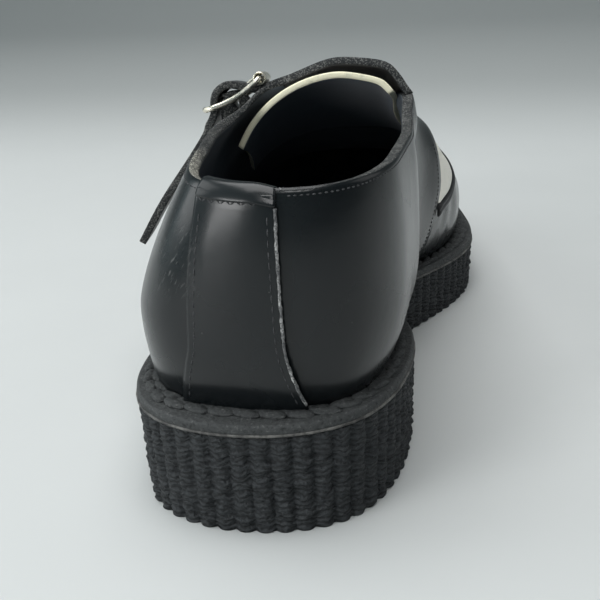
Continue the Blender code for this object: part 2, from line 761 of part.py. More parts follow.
def strap_rows():
    """Middle surface of the strap: rows along it, columns across it from back to front edge."""
    across = np.linspace(0.0, 1.0, 5)
    rows = []
    for crossing in STRAP_OVER:
        row = []
        for share in across:
            station = side_station(float(crossing.back + crossing.width * share), crossing.side)
            if crossing.side == "medial":
                edge = level_step(station, top_level(station), STRAP_START)
                level = edge + (2.0 - edge) * crossing.reach
            else:
                level = LATERAL_REACH + (2.0 - LATERAL_REACH) * crossing.reach
            row.append(wall_point(station, min(level, 2.0), crossing.lift + STRAP_THICK / 2))
        rows.append(row)
    for bend in STRAP_END:
        rows.append([np.array((bend.x - STRAP_TURN * STRAP_WIDTH * share, bend.back + STRAP_WIDTH * share,
                               bend.z - bend.drop * share)) for share in across])
    return refine_rows(rows, 3)


def refine_rows(rows, parts):
    """Extra rows on smooth curves through each column of points."""
    grid = np.array(rows)
    slopes = np.gradient(grid, axis=0)
    fine = []
    for i in range(len(grid) - 1):
        for t in np.linspace(0, 1, parts, endpoint=False):
            fine.append(grid[i] * (1 - 3 * t ** 2 + 2 * t ** 3) + grid[i + 1] * (3 * t ** 2 - 2 * t ** 3)
                        + slopes[i] * (t - 2 * t ** 2 + t ** 3) + slopes[i + 1] * (t ** 3 - t ** 2))
    fine.append(grid[-1])
    return np.array(fine)


def make_strap():
    """Strap from the medial quarter over the instep, through the buckle, to its free tip."""
    middle = strap_rows()
    along = np.gradient(middle, axis=0)
    across = np.gradient(middle, axis=1)
    normal = np.cross(across, along)
    normal /= np.linalg.norm(normal, axis=2)[:, :, None]
    outer = middle + normal * STRAP_THICK / 2
    inner = middle - normal * STRAP_THICK / 2
    leather = paint("strap_leather", (0.014, 0.014, 0.016), 0.35)
    return sheet_solid("strap", outer.tolist(), inner.tolist(), leather)


def buckle_axes():
    """Middle of the buckle, its directions along and across the strap and off the shoe, its half length."""
    right = np.array(BUCKLE_RIGHT)
    left = np.array(BUCKLE_LEFT)
    along = (left - right) / np.linalg.norm(left - right)
    across = np.array(BUCKLE_CROSS)
    across -= along * (across @ along)
    across /= np.linalg.norm(across)
    return (right + left) / 2, along, across, np.cross(across, along), np.linalg.norm(left - right) / 2


def make_buckle_frame():
    """Bent frame of the buckle: rounded at the free end, square at the roller, its sides sagging."""
    middle, along, across, off, half = buckle_axes()
    half_width = BUCKLE_WIDTH / 2 - BUCKLE_BAR
    places = []
    for corner, (u, v) in enumerate(((1, 1), (-1, 1), (-1, -1), (1, -1))):
        radius = BUCKLE_CORNER if u > 0 else ROLLER_CORNER
        for k in range(5):
            angle = math.radians(90 * corner + 90 * k / 4)
            places.append((u * (half - radius) + radius * math.cos(angle),
                           v * (half_width - radius) + radius * math.sin(angle)))
        if corner in (0, 2):
            places += [(a, v * half_width) for a in (u * half * share for share in (0.4, 0.0, -0.4))]
    loop = [middle + along * a + across * b - off * BUCKLE_SAG * (1.0 - (a / half) ** 2) for a, b in places]
    return round_bar("buckle_frame", loop, BUCKLE_BAR, paint("frame_metal", *BUCKLE_METAL), True)


def make_buckle_bar():
    """Middle bar between the sagging sides, carried by the tab."""
    middle, _, across, off, _ = buckle_axes()
    seat = middle - off * BUCKLE_SAG
    half_bar = BUCKLE_WIDTH / 2 - 2 * BUCKLE_BAR - GAP
    ends = [seat - across * half_bar, seat + across * half_bar]
    return round_bar("buckle_bar", ends, BUCKLE_BAR, paint("bar_metal", *BUCKLE_METAL))


def make_buckle_roller():
    """Open sleeve that turns on the frame's end bar."""
    middle, along, across, off, half = buckle_axes()
    half_length = BUCKLE_WIDTH / 2 - BUCKLE_BAR - ROLLER_CORNER
    seat = middle - along * half
    rim = []
    for end in (-half_length, half_length):
        for radius in (ROLLER_RADIUS, BUCKLE_BAR + ROLLER_PLAY):
            rim.append((end, radius))
    order = (rim[0], rim[2], rim[3], rim[1])
    turns = [2 * math.pi * k / 12 for k in range(12)]
    sections = [[seat + across * end + radius * (along * math.cos(turn) + off * math.sin(turn))
                 for end, radius in order] for turn in turns]
    return tube_solid("buckle_roller", turns, sections, paint("roller_metal", *BUCKLE_METAL), True)


def make_buckle_prong():
    """Prong that lies from the strap's hole over the roller."""
    middle, along, _, off, half = buckle_axes()
    over = ROLLER_RADIUS + PRONG_BAR + GAP
    prong_path = [middle - along * (half + PRONG_TIP) + off * (over - PRONG_TIP_DROP),
                  middle - along * half + off * over,
                  middle - along * (half - PRONG_TAIL) + off * over]
    return round_bar("buckle_prong", prong_path, PRONG_BAR, paint("prong_metal", *BUCKLE_METAL), sides=6)


def make_buckle_tab():
    """Leather loop on the lateral quarter that carries the buckle's middle bar."""
    middle, along, across, off, _ = buckle_axes()
    outer = []
    inner = []
    for share in np.linspace(-0.5, 0.5, 4):
        seat = middle + across * TAB_WIDTH * share - off * BUCKLE_SAG
        station = side_station(float(seat[1]), "lateral")
        for rows, radius, feet in ((outer, BUCKLE_BAR + GAP + TAB_THICK, (TAB_FEET[0], TAB_FEET[3])),
                                   (inner, BUCKLE_BAR + GAP, (TAB_FEET[1], TAB_FEET[2]))):
            turns = [math.pi * k / 6 for k in range(7)]
            bend = [seat + radius * (along * math.cos(turn) + off * math.sin(turn)) for turn in turns]
            lifts = [QUARTER_STEP + OVERLAY_GAP - quarter_tuck(station, level) for level in feet]
            left, right = [wall_point(station, level, lift) for level, lift in zip(feet, lifts)]
            rows.append([left, *bend, right])
    leather = paint("tab_leather", (0.014, 0.014, 0.016), 0.4)
    return sheet_solid("buckle_tab", outer, inner, leather)


def main():
    """Build every piece and stand the shoe on the floor, centred under its own box."""
    for old in list(bpy.data.objects):
        bpy.data.objects.remove(old, do_unlink=True)
    pieces = [make_outsole(), make_welt(), make_insole(), make_upper(), make_apron(), make_apron_band(),
              make_tongue(), make_backstay(), make_heel_binding(), make_strap(), make_buckle_tab(),
              make_buckle_frame(), make_buckle_bar(), make_buckle_roller(), make_buckle_prong()]
    corners = np.array([v.co for piece in pieces for v in piece.data.vertices])
    low = corners.min(axis=0)
    high = corners.max(axis=0)
    shoe = bpy.data.objects.new("shoe", None)
    shoe.location = (-(low[0] + high[0]) / 2, -(low[1] + high[1]) / 2, -low[2])
    bpy.context.scene.collection.objects.link(shoe)
    for piece in pieces:
        piece.parent = shoe


main()
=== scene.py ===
"""Looks of a left creeper shoe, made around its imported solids.

Sizes are millimetres in the shoe's own axes: x towards the inner side of the foot, y from the back
of the heel to the toe, z up from the floor. at() turns them into metres in the frame.
"""

import math
from collections import namedtuple

import bmesh
import bpy
import numpy as np
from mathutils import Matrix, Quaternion, Vector, noise
from mathutils.bvhtree import BVHTree
from mathutils.kdtree import KDTree


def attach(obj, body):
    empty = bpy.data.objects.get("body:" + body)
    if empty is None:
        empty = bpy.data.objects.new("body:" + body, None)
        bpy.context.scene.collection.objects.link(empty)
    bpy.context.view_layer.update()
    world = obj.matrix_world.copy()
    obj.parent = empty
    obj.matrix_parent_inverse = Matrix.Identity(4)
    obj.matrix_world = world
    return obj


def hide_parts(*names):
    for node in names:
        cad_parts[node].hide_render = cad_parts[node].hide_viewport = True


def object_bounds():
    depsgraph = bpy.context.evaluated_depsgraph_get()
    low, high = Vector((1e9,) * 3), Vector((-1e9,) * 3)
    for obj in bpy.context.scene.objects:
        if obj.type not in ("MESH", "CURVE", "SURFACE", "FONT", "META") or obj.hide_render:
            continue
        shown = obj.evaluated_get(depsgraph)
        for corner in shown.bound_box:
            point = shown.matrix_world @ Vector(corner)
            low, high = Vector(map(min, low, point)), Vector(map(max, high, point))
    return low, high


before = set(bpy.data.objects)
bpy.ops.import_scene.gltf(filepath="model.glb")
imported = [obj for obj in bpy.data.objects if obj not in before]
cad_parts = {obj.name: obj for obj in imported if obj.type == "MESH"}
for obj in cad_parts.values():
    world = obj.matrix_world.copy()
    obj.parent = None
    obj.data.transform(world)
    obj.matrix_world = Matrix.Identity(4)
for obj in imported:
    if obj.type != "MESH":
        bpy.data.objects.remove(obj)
cad_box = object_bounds()

MM = 0.001

# Heel: shift of its middle line from the frame's middle, centre of its turns, and its radius there
HEEL_AXIS = 2.62
HEEL_CENTRE = (9.0, 45.0)
HEEL_REACH = 35.0

# Camera: place, point aimed at, roll in degrees and lens
CAMERA_PLACE = (62.8, -245.4, 166.3)
CAMERA_AIM = (0.7, 84.9, 37.2)
CAMERA_ROLL = 3.3
CAMERA_LENS = 64.0

# Soft boxes, in metres and watts
Light = namedtuple("Light", "name place target size power")
LIGHTS = (
    Light("top_box", (-0.1, -0.02, 1.1), (0.0, 0.0, 0.0), (1.1, 0.9), 12.0),
    Light("left_box", (-1.1, 0.1, 0.6), (0.0, 0.0, 0.05), (0.7, 0.9), 3.5),
    Light("right_box", (1.1, 0.3, 0.6), (0.0, 0.0, 0.05), (0.6, 0.9), 1.2),
    Light("sheen_box", (-0.87, -1.0, 0.40), (0.0, -0.1, 0.07), (0.6, 0.5), 7.5),
    Light("back_box", (0.25, -1.1, 1.05), (0.0, -0.05, 0.08), (0.5, 0.4), 4.0),
)

# Room around the stage: colour on the left and on the right, and where they blend
ROOM_LEFT = (0.25, 0.34, 0.36)
ROOM_RIGHT = (0.070, 0.084, 0.090)
ROOM_FADE = (-0.9, 0.7)

# Paper sweep in metres: side of its floor, shift towards the heel, height and bend of its back wall
SWEEP_SIDE = 5.0
SWEEP_SHIFT = -0.6
SWEEP_HEIGHT = 3.0
SWEEP_BEND = 0.9

# Floor: colour near, painted shade of its far part, and the metres along the shoe between which they
# blend
FLOOR_PALE = (0.530, 0.545, 0.540)
FLOOR_FAR_SHADE = (0.39, 0.404, 0.400)
FLOOR_SHADE_FADE = (0.25, 0.60)
FLOOR_CLOUD = 0.03

# Copied solids: welding, largest turn between triangles that make one quad, and rounding
WELD = 0.01
PAIR_ANGLE = 40.0
ROUND_LEVELS = 2

# Cut leather edges: the turn that makes one, and how crisp it stays when the piece is rounded
EDGE_ANGLE = 48.0
EDGE_CREASE = 0.75

# Middle line inside the shoe, which tells the lining side from the outside: length and height
INSIDE_LINE = ((45.0, 66.0), (235.0, 40.0))

# Ribs of the sole: least length and uprightness of their edges, splits, sharpness of the grooves
RIB_LEAST = 8.0
RIB_UPRIGHT = 0.9
RIB_CUTS = 10
GROOVE_CREASE = 0.7

# Top of the rubber: length and height
SOLE_TOP = ((0.0, 30.3), (50.0, 29.9), (100.0, 25.9), (137.0, 22.3),
            (177.0, 19.5), (213.0, 18.9), (262.0, 20.7), (305.0, 24.9))

# Crepe lumps: depth, then sizes across and up of the coarse ones, the fine ones and the rows' wander
NUB_DEPTH = 0.75
NUB_COARSE = (3.4, 1.2)
NUB_FINE = (1.7, 0.8)
NUB_WANDER = (9.0, 5.0)

# Shares of the coarse and the fine lumps, how far they sink, and how far their rows wander
NUB_SHARES = (1.3, 0.5)
NUB_SINK = 0.15
NUB_SWAY = 0.8

# Fade of the lumps below the welt: start, run and least share
NUB_FADE = (1.0, 5.0, 0.15)

# Flat top of the welt: splits and least length of the edges across it, slopes of top and outer rim
WELT_CUTS = 9
WELT_RUNG = 3.0
WELT_FLAT = 0.93
WELT_RIM = (0.3, 0.9)

# Smooth lip of the welt, run from it to the rough field, and depth, size and sink of the pebbles
WELT_LIP = 3.0
WELT_FADE = 1.2
WELT_ROUGH = 0.45
WELT_PEBBLE = (1.6, 1.6)
WELT_SINK = 0.4

# Bead under the welt's lip, a pale painted highlight line: radius, and how far out and down it lies
BEAD_RADIUS = 0.42
BEAD_OUT = 0.55
BEAD_DROP = 2.95

# Plait beside the upper: share of the width, shift and turn of each row, then the pitch
PLAIT_ROWS = ((0.20, 0.0, 14.0), (0.52, 0.5, -12.0))
PLAIT_PITCH = 7.4

# Band of the welt that the plait is spread over: its greatest width, and the part under the upper
PLAIT_WIDEST = 9.0
WELT_TUCKED = 2.2

# Lozenges of the plait: half sizes, seat above the welt, then depth, sizes and fine share of their chips
LOZENGE = (0.58 * PLAIT_PITCH, 2.3, 0.95)
LOZENGE_SEAT = 0.15
CHIP_DEPTH = 0.35
CHIP_BROAD = (2.6, 2.0)
CHIP_FINE = (0.9, 0.9)
CHIP_SHARE = 0.6

# Shifts that set the fine lumps apart from the coarse ones, on the sole and on the plait
FINE_SHIFT = 40.0
CHIP_SHIFT = 30.0

# Sewing thread: radius, then length and pitch of the stitches
STITCH_RADIUS = 0.24
HEEL_STITCH = (2.1, 2.9)
FINE_STITCH = (1.0, 1.6)
ZIGZAG_STITCH = (1.7, 1.5)
ZIGZAG_LEAN = 38.0
ZIGZAG_HEIGHT = 93.3

# Collar edge on the inner side of the foot, taken for the outer side too: length and height
COLLAR = ((10.0, 96.2), (45.0, 97.0), (75.0, 98.0), (88.0, 99.8), (97.0, 101.2))

# Collar stitches below it: side, turns about the heel, and lengths further forward
COLLAR_ROW = 1.6
COLLAR_SIDES = (
    ("inner", 1.0, np.linspace(96.0, 178.0, 22)),
    ("outer", -1.0, np.linspace(52.0, 2.0, 14)),
)
COLLAR_STEPS = np.arange(48.0, 96.0, 3.0)

# Front edge of the quarters: length, and inset and heights of its stitches
QUARTER_FRONT = 150.0
FRONT_INSET = 3.0
FRONT_HEIGHTS = np.arange(30.0, 80.0, 2.0)

# Heel strip: turn of its middle about the heel centre, search step, heights, and inset of its stitches
STRIP_MIDDLE = 74.0
STRIP_STEP = 0.2
STRIP_HEIGHTS = np.arange(36.5, 93.0, 1.5)
STRIP_INSET = 2.2

# Binding: turns of its ends, and how far its stitches stop short of them
BINDING_ENDS = (56.0, 92.0)
BINDING_CLEAR = 2.0

# Fold of the binding: heights and rim where it starts, how far out and down it goes, thinned end
BINDING_HEIGHTS = (97.2, 99.2)
BINDING_RIM = (33.0, 36.0)
BINDING_OUT = 1.5
BINDING_SINK = 1.1
BINDING_FOLD = 2.6
BINDING_INNER = 0.3
BINDING_THIN = 1.2
BINDING_RUN = 9.0

# Bare edge beside the heel strip: radius, inset, splits, and depth and sizes of its roughness
SEAM_EDGE = 0.42
SEAM_INSET = 0.1
SEAM_CUTS = 3
SEAM_ROUGH = 0.55
SEAM_LUMPS = (1.2, 1.6)

# Loose thread ends by the binding: turn, length and lean, then where and how they stand off
FRAY = ((93.0, 2.0, 35.0), (95.5, 1.6, 140.0), (99.0, 2.4, 25.0),
        (104.0, 1.5, 155.0), (107.0, 2.0, 30.0))
FRAY_HEIGHT = 95.8
FRAY_RADIUS = 0.08
FRAY_LIFT = (0.7, 0.4)

# Strap's start on the inner side: where it lies, and how far it is drawn down and out
STRAP_SIDE = 20.0
STRAP_LEAN = 0.3
STRAP_SEAT = 2.6
STRAP_OUT = 1.3
STRAP_HEIGHTS = (104.0, 112.0)

# Tongue's inner shoulder: how far it goes out and down, and the lengths, sides and heights it fades over
TONGUE_OUT = 2.0
TONGUE_DROP = 1.8
TONGUE_BACK = (112.0, 135.0)
TONGUE_SIDE = (18.0, 26.0)
TONGUE_TOP = (98.0, 108.0)
TONGUE_CROWN = (98.0, 106.0)
TONGUE_BEND = (27.0, 6.0)

# Buckle: side where the prong's two ends part, their bends, and the roller's widening
PRONG_PART = -18.0
PRONG_BEND = (-1.2, 0.0, -3.2)
PRONG_SINK = (0.9, 0.0, -0.9)
ROLLER_SWELL = 1.22

# Outer leaf of the buckle's tab: how far it swells, and the lean, side and height where it starts
TAB_SWELL = 2.7
TAB_LEAN = -0.3
TAB_SIDE = -23.1
TAB_FOOT = 95.0

# Scuff on the outer quarter and cream stretches of the collar's cut edge: place and reach
SCUFF_SPOT = (-19.0, 15.0, 76.0, 14.0)
CREAM_SPOTS = ((-20.0, 26.0, 97.0, 17.0), (-28.0, 42.0, 97.0, 15.0))

# Share of a spot's reach over which it is full
SPOT_CORE = 0.2

# Start of a search ray, outside the shoe
RAY_START = 90.0

# Creases of the leather: two ends, height (negative for a trough) and half width
Crease = namedtuple("Crease", "start end height width")
SIDE_CREASES = (
    Crease((41.0, 68.0, 88.0), (41.0, 70.0, 46.0), 0.8, 7.0),
    Crease((39.0, 106.0, 72.0), (37.0, 106.0, 46.0), -1.2, 13.0),
    Crease((37.0, 106.0, 104.0), (38.5, 100.0, 96.0), 2.2, 9.0),
    Crease((-34.0, 100.0, 84.0), (-36.0, 104.0, 46.0), -1.0, 12.0),
    Crease((48.0, 166.0, 47.0), (47.0, 164.0, 30.0), -0.6, 3.2),
    Crease((50.0, 172.0, 46.0), (49.0, 171.0, 29.0), 0.5, 3.0),
    Crease((51.0, 180.0, 48.0), (50.0, 178.0, 30.0), -0.6, 3.4),
    Crease((51.0, 189.0, 46.0), (51.0, 188.0, 30.0), 0.4, 4.0),
    Crease((-48.0, 172.0, 46.0), (-47.0, 170.0, 30.0), -0.6, 3.4),
    Crease((-49.0, 182.0, 46.0), (-48.0, 180.0, 30.0), -0.5, 3.4),
    Crease((6.0, 5.0, 84.0), (10.0, 5.0, 44.0), -0.35, 8.0),
)
TOP_CREASES = (
    Crease((-12.0, 102.5, 103.5), (-5.0, 107.0, 105.5), 2.0, 4.5),
    Crease((20.0, 205.0, 66.0), (-18.0, 203.0, 65.0), -0.9, 5.0),
    Crease((22.0, 214.0, 63.0), (-20.0, 212.0, 62.0), -0.7, 4.5),
)
QUARTER_LIP = (Crease((40.0, QUARTER_FRONT, 82.0), (42.0, QUARTER_FRONT, 62.0), 2.2, 11.0),)


def at(x, y, z):
    """Place in the frame, in metres, of a point given in the shoe's own millimetres."""
    return Vector(((x + HEEL_AXIS) * MM, y * MM + cad_box[0].y, z * MM))


def own(place):
    """The shoe's own millimetres of a place in the frame."""
    return place.x / MM - HEEL_AXIS, (place.y - cad_box[0].y) / MM, place.z / MM


def rise(value, low, high):
    """Smooth step from 0 at low to 1 at high, as a number."""
    share = min(max((value - low) / (high - low), 0.0), 1.0)
    return share * share * (3.0 - 2.0 * share)


def heel_turn(place):
    """Turn of a place about the heel's centre, in degrees: 0 outer side, 90 back, 180 inner side."""
    away = place - at(*HEEL_CENTRE, 0.0)
    return math.degrees(math.atan2(-away.y, -away.x))


def lumps(place, across, up, shift=0.0):
    """Noise from -1 to 1 at a place in the frame, its lumps of a size across and a size up."""
    x, y, z = place / MM
    return noise.noise(Vector((x / across, y / across, z / up + shift)))


def sole_top(length):
    """Rough height of the top of the rubber at a length."""
    return float(np.interp(length, *zip(*SOLE_TOP)))


def collar_height(length):
    """Height of the collar edge at a length."""
    return float(np.interp(length, *zip(*COLLAR)))


# Shader maths


class Socket:
    """One socket of a finish's nodes. Arithmetic on it adds Math nodes."""

    def __init__(self, tree, output):
        self.tree = tree
        self.output = output

    def node(self, kind, settings=None, sockets=None, result=0):
        """Any other node: its type, its settings, its sockets' values or links, and the output meant."""
        made = self.tree.nodes.new(kind)
        for name, value in (settings or {}).items():
            setattr(made, name, value)
        for name, value in (sockets or {}).items():
            if isinstance(value, Socket):
                self.tree.links.new(value.output, made.inputs[name])
            else:
                made.inputs[name].default_value = value
        return Socket(self.tree, made.outputs[result])

    def math(self, operation, first, second):
        """Math node on two values or sockets."""
        return self.node("ShaderNodeMath", {"operation": operation}, {0: first, 1: second})

    def __add__(self, other):
        return self.math("ADD", self, other)

    def __radd__(self, other):
        return self.math("ADD", other, self)

    def __sub__(self, other):
        return self.math("SUBTRACT", self, other)

    def __rsub__(self, other):
        return self.math("SUBTRACT", other, self)

    def __mul__(self, other):
        return self.math("MULTIPLY", self, other)

    def __rmul__(self, other):
        return self.math("MULTIPLY", other, self)


def grain(place, size, detail=3.0, roughness=0.55):
    """Soft noise whose lumps are about size millimetres."""
    sockets = {"Vector": place, "Scale": 1 / (size * MM), "Detail": detail, "Roughness": roughness}
    return place.node("ShaderNodeTexNoise", None, sockets)


def pores(place, size):
    """Distance to the nearest of points about size millimetres apart, in parts of that size."""
    sockets = {"Vector": place, "Scale": 1 / (size * MM)}
    return place.node("ShaderNodeTexVoronoi", {"feature": "F1"}, sockets)


def stretched(place, stretch, turn=(0.0, 0.0, 0.0)):
    """The same place, turned and then stretched by a factor along each axis."""
    return place.node("ShaderNodeMapping", {"vector_type": "TEXTURE"},
                      {"Vector": place, "Rotation": turn, "Scale": stretch})


def ease(value, low, high):
    """Smooth step from 0 at low to 1 at high."""
    return value.node("ShaderNodeMapRange", {"interpolation_type": "SMOOTHSTEP"},
                      {"Value": value, "From Min": low, "From Max": high, "To Min": 0.0, "To Max": 1.0})


def blend(mask, first, second):
    """Colour that goes from the first to the second as the mask goes from 0 to 1.

    Inputs 6 and 7 of a Mix node are its two colours, and output 2 is the mixed colour.
    """
    first = first if isinstance(first, Socket) else (*first, 1.0)
    second = second if isinstance(second, Socket) else (*second, 1.0)
    return mask.node("ShaderNodeMix", {"data_type": "RGBA"}, {0: mask, 6: first, 7: second}, 2)


def near(place, x, y, z, size):
    """Mask that is 1 at a point of the shoe and fades to 0 at size millimetres from it."""
    away = place.node("ShaderNodeVectorMath", {"operation": "DISTANCE"}, {0: place, 1: at(x, y, z)}, 1)
    return 1 - ease(away, SPOT_CORE * size * MM, size * MM)


def relief(height, depth, strength=1.0, under=None):
    """Bump of a height field that is depth millimetres from 0 to 1."""
    sockets = {"Height": height, "Distance": depth * MM, "Strength": strength}
    if under:
        sockets["Normal"] = under
    return height.node("ShaderNodeBump", None, sockets)


def new_finish(name, values):
    """Material with a Principled shader whose constant sockets are set, and its object coordinates."""
    material = bpy.data.materials.new(name)
    material.use_nodes = True
    tree = material.node_tree
    shader = tree.nodes["Principled BSDF"]
    for socket, value in values.items():
        shader.inputs[socket].default_value = value
    place = Socket(tree, tree.nodes.new("ShaderNodeTexCoord").outputs["Object"])
    return material, shader, place


def feed(shader, **sockets):
    """Link what changes over the surface to the shader: colour, roughness, coat and normal."""
    names = {"colour": "Base Color", "roughness": "Roughness", "coat": "Coat Weight", "normal": "Normal"}
    for word, socket in sockets.items():
        socket.tree.links.new(socket.output, shader.inputs[names[word]])


# Finishes


def polished_leather():
    """Black leather under old polish: nearly smooth, with dust, faint scuffs and soft ripples."""
    values = {"Specular IOR Level": 0.3, "Coat Roughness": 0.16}
    material, shader, place = new_finish("polished_black_leather", values)
    cloud = grain(place, 26.0, 3.0)
    dust = (1 - ease(pores(place, 7.0), 0.02, 0.05)) * ease(grain(place, 11.0, 1.0), 0.56, 0.62)
    streaks = ease(grain(stretched(place, (0.6, 0.6, 5.0), (0.2, 0.5, 0.0)), 0.9, 2.0), 0.58, 0.72)
    scuff = streaks * near(place, *SCUFF_SPOT)
    base = blend(cloud, (0.0030, 0.0045, 0.0056), (0.0065, 0.0082, 0.0092))
    worn = blend(scuff * 0.5, base, (0.16, 0.16, 0.155))
    fine = 1 - pores(place, 0.45)
    ripple = relief(grain(place, 9.0, 2.0), 0.10)
    feed(shader, colour=blend(dust * 0.6, worn, (0.16, 0.16, 0.155)),
         roughness=0.21 + 0.13 * cloud + 0.25 * scuff + 0.3 * dust,
         coat=0.35 - 0.2 * cloud, normal=relief(fine, 0.012, 0.6, ripple))
    return material


def strap_leather():
    """Black leather that has been bent and handled: more grain, less polish."""
    values = {"Coat Roughness": 0.3, "Coat Weight": 0.1}
    material, shader, place = new_finish("strap_black_leather", values)
    cloud = grain(place, 12.0)
    fine = 1 - pores(place, 0.6)
    feed(shader, colour=blend(cloud, (0.006, 0.006, 0.007), (0.014, 0.014, 0.015)),
         roughness=0.34 + 0.16 * cloud, normal=relief(fine, 0.03, 0.8, relief(grain(place, 3.0), 0.08)))
    return material


def raw_edge():
    """Cut leather edge: grey fibres with dark dye rubbed over them."""
    material, shader, place = new_finish("raw_leather_edge", {"Specular IOR Level": 0.25})
    fibre = grain(place, 0.55, 4.0, 0.7)
    patch = grain(place, 5.0, 2.0)
    speck = ease(fibre + 0.25 * patch, 0.60, 0.76)
    first, second = (near(place, *spot) for spot in CREAM_SPOTS)
    grey = blend(speck, (0.018, 0.020, 0.021), (0.145, 0.145, 0.138))
    pale = blend(speck, (0.10, 0.098, 0.086), (0.55, 0.53, 0.45))
    feed(shader, colour=blend(first + second, grey, pale),
         roughness=0.75 + 0.15 * fibre, normal=relief(fibre, 0.25))
    return material


def cream_edge():
    """Cut edge of thick cream leather: pale fibres with grey smudges."""
    material, shader, place = new_finish("cream_leather_edge", {"Specular IOR Level": 0.35})
    fibre = grain(place, 0.6, 4.0, 0.7)
    smudge = ease(grain(place, 4.0, 4.0, 0.7), 0.52, 0.72)
    pale = blend(fibre, (0.93, 0.87, 0.60), (0.96, 0.93, 0.75))
    feed(shader, colour=blend(smudge * 0.35, pale, (0.42, 0.40, 0.31)),
         roughness=0.55 + 0.25 * fibre, normal=relief(fibre, 0.22))
    return material


def pale_edge():
    """Cut edge of a heel panel: bare grey leather along the seam."""
    material, shader, place = new_finish("pale_leather_edge", {"Specular IOR Level": 0.3})
    fibre = grain(place, 0.8, 4.0, 0.7)
    bare = ease(fibre, 0.35, 0.65) * (0.25 + 0.75 * ease(grain(place, 7.0, 2.0), 0.42, 0.60))
    feed(shader, colour=blend(bare, (0.05, 0.052, 0.055), (0.46, 0.46, 0.45)),
         roughness=0.6 + 0.2 * fibre, normal=relief(fibre, 0.2))
    return material


def dark_lining(name, dark, pale):
    """Blue-black lining of the inside, matt and slightly napped, between two shades."""
    material, shader, place = new_finish(name, {"Sheen Weight": 0.15, "Specular IOR Level": 0.3})
    nap = grain(place, 0.7, 4.0, 0.6)
    feed(shader, colour=blend(grain(place, 14.0), dark, pale),
         roughness=0.62 + 0.2 * nap, normal=relief(nap, 0.12))
    return material


def cream_leather():
    """Off-white leather, yellowed in patches, with grey dirt in the grain."""
    material, shader, place = new_finish("cream_leather", {"Coat Roughness": 0.3, "Coat Weight": 0.15})
    cloud = grain(place, 16.0)
    dirt = ease(grain(place, 2.2, 5.0, 0.65), 0.56, 0.80)
    fine = 1 - pores(place, 0.7)
    pale = blend(cloud, (0.90, 0.87, 0.76), (0.82, 0.79, 0.71))
    feed(shader, colour=blend(dirt * 0.4, pale, (0.42, 0.39, 0.33)),
         roughness=0.38 + 0.2 * dirt, normal=relief(fine, 0.03, 0.8, relief(grain(place, 6.0), 0.12)))
    return material


def sole_rubber():
    """Dark grey crepe rubber, dull, paler on the high points of its fine crumb, with painted shade in the
    low parts of its folds.
    """
    material, shader, place = new_finish("crepe_rubber", {"Specular IOR Level": 0.35})
    crumb = grain(place, 0.7, 4.0, 0.65)
    bands = {"Vector": place, "Scale": 190.0, "Distortion": 7.0, "Detail": 3.0, "Detail Scale": 1.6}
    waves = place.node("ShaderNodeTexWave", {"bands_direction": "Z"}, bands, 1)
    folds = 0.55 * waves + 0.45 * grain(stretched(place, (0.45, 0.45, 1.9)), 1.9, 3.0, 0.6)
    cloud = grain(place, 20.0)
    tone = blend(cloud, (0.027, 0.030, 0.033), (0.042, 0.046, 0.049))
    # painted shade: the low parts of the folds are darkened
    fold_shade = blend(ease(folds, 0.22, 0.42), (0.012, 0.0135, 0.0145), tone)
    feed(shader, colour=blend(ease(crumb, 0.58, 0.75) * 0.4, fold_shade, (0.10, 0.106, 0.11)),
         roughness=0.58 + 0.22 * crumb, normal=relief(crumb, 0.36, 1.0, relief(folds, 1.3)))
    return material


def welt_finish():
    """Dull grey moulded welt with a gritty surface: painted shade in the grit's low points, and pale
    specks on its high points that are partly the welt's own speckle and partly painted highlight.
    """
    material, shader, place = new_finish("gritty_welt", {"Specular IOR Level": 0.35})
    grit = grain(place, 1.1, 4.0, 0.7)
    cloud = grain(place, 9.0)
    tone = blend(cloud, (0.037, 0.040, 0.041), (0.058, 0.061, 0.061))
    # painted shade in the low points of the grit
    dark = blend(ease(grit, 0.32, 0.48), (0.014, 0.015, 0.0155), tone)
    # pale on the grit's high points: partly speckle, partly painted highlight
    feed(shader, colour=blend(ease(grit, 0.55, 0.72) * 0.7, dark, (0.17, 0.172, 0.168)),
         roughness=0.62 + 0.2 * grit, normal=relief(grit, 0.75))
    return material


def lip_highlight_finish():
    """Thin painted highlight line at the foot of the welt's lip, paler than the rest."""
    material, shader, place = new_finish("painted_lip_highlight", {"Specular IOR Level": 0.4})
    mottle = grain(place, 5.0, 4.0, 0.65)
    # painted highlight: a pale, mottled line along the foot of the welt's lip
    feed(shader, colour=blend(ease(mottle, 0.40, 0.62), (0.035, 0.034, 0.033), (0.13, 0.128, 0.12)),
         roughness=0.45 + 0.2 * mottle, normal=relief(mottle, 0.1))
    return material


def buckle_metal():
    """Pale gold-toned nickel, lightly brushed by wear."""
    material, shader, place = new_finish("pale_buckle_metal", {"Metallic": 1.0})
    mottle = grain(place, 1.6, 4.0)
    dull = grain(place, 6.0)
    feed(shader, colour=blend(dull, (0.86, 0.82, 0.70), (0.70, 0.66, 0.56)),
         roughness=0.25 + 0.20 * ease(mottle, 0.45, 0.75), normal=relief(mottle, 0.008))
    return material


def black_thread():
    """Waxed black sewing thread with a twist."""
    material, shader, place = new_finish("black_thread", {"Specular IOR Level": 0.5})
    twist = grain(place, 0.5)
    feed(shader, colour=blend(ease(twist, 0.35, 0.65), (0.006, 0.006, 0.008), (0.048, 0.050, 0.053)),
         roughness=0.45 + 0.2 * twist, normal=relief(twist, 0.15))
    return material


# Modelling helpers


def pick(piece):
    """Make one piece the only selected and the active one."""
    bpy.ops.object.select_all(action="DESELECT")
    piece.select_set(True)
    bpy.context.view_layer.objects.active = piece


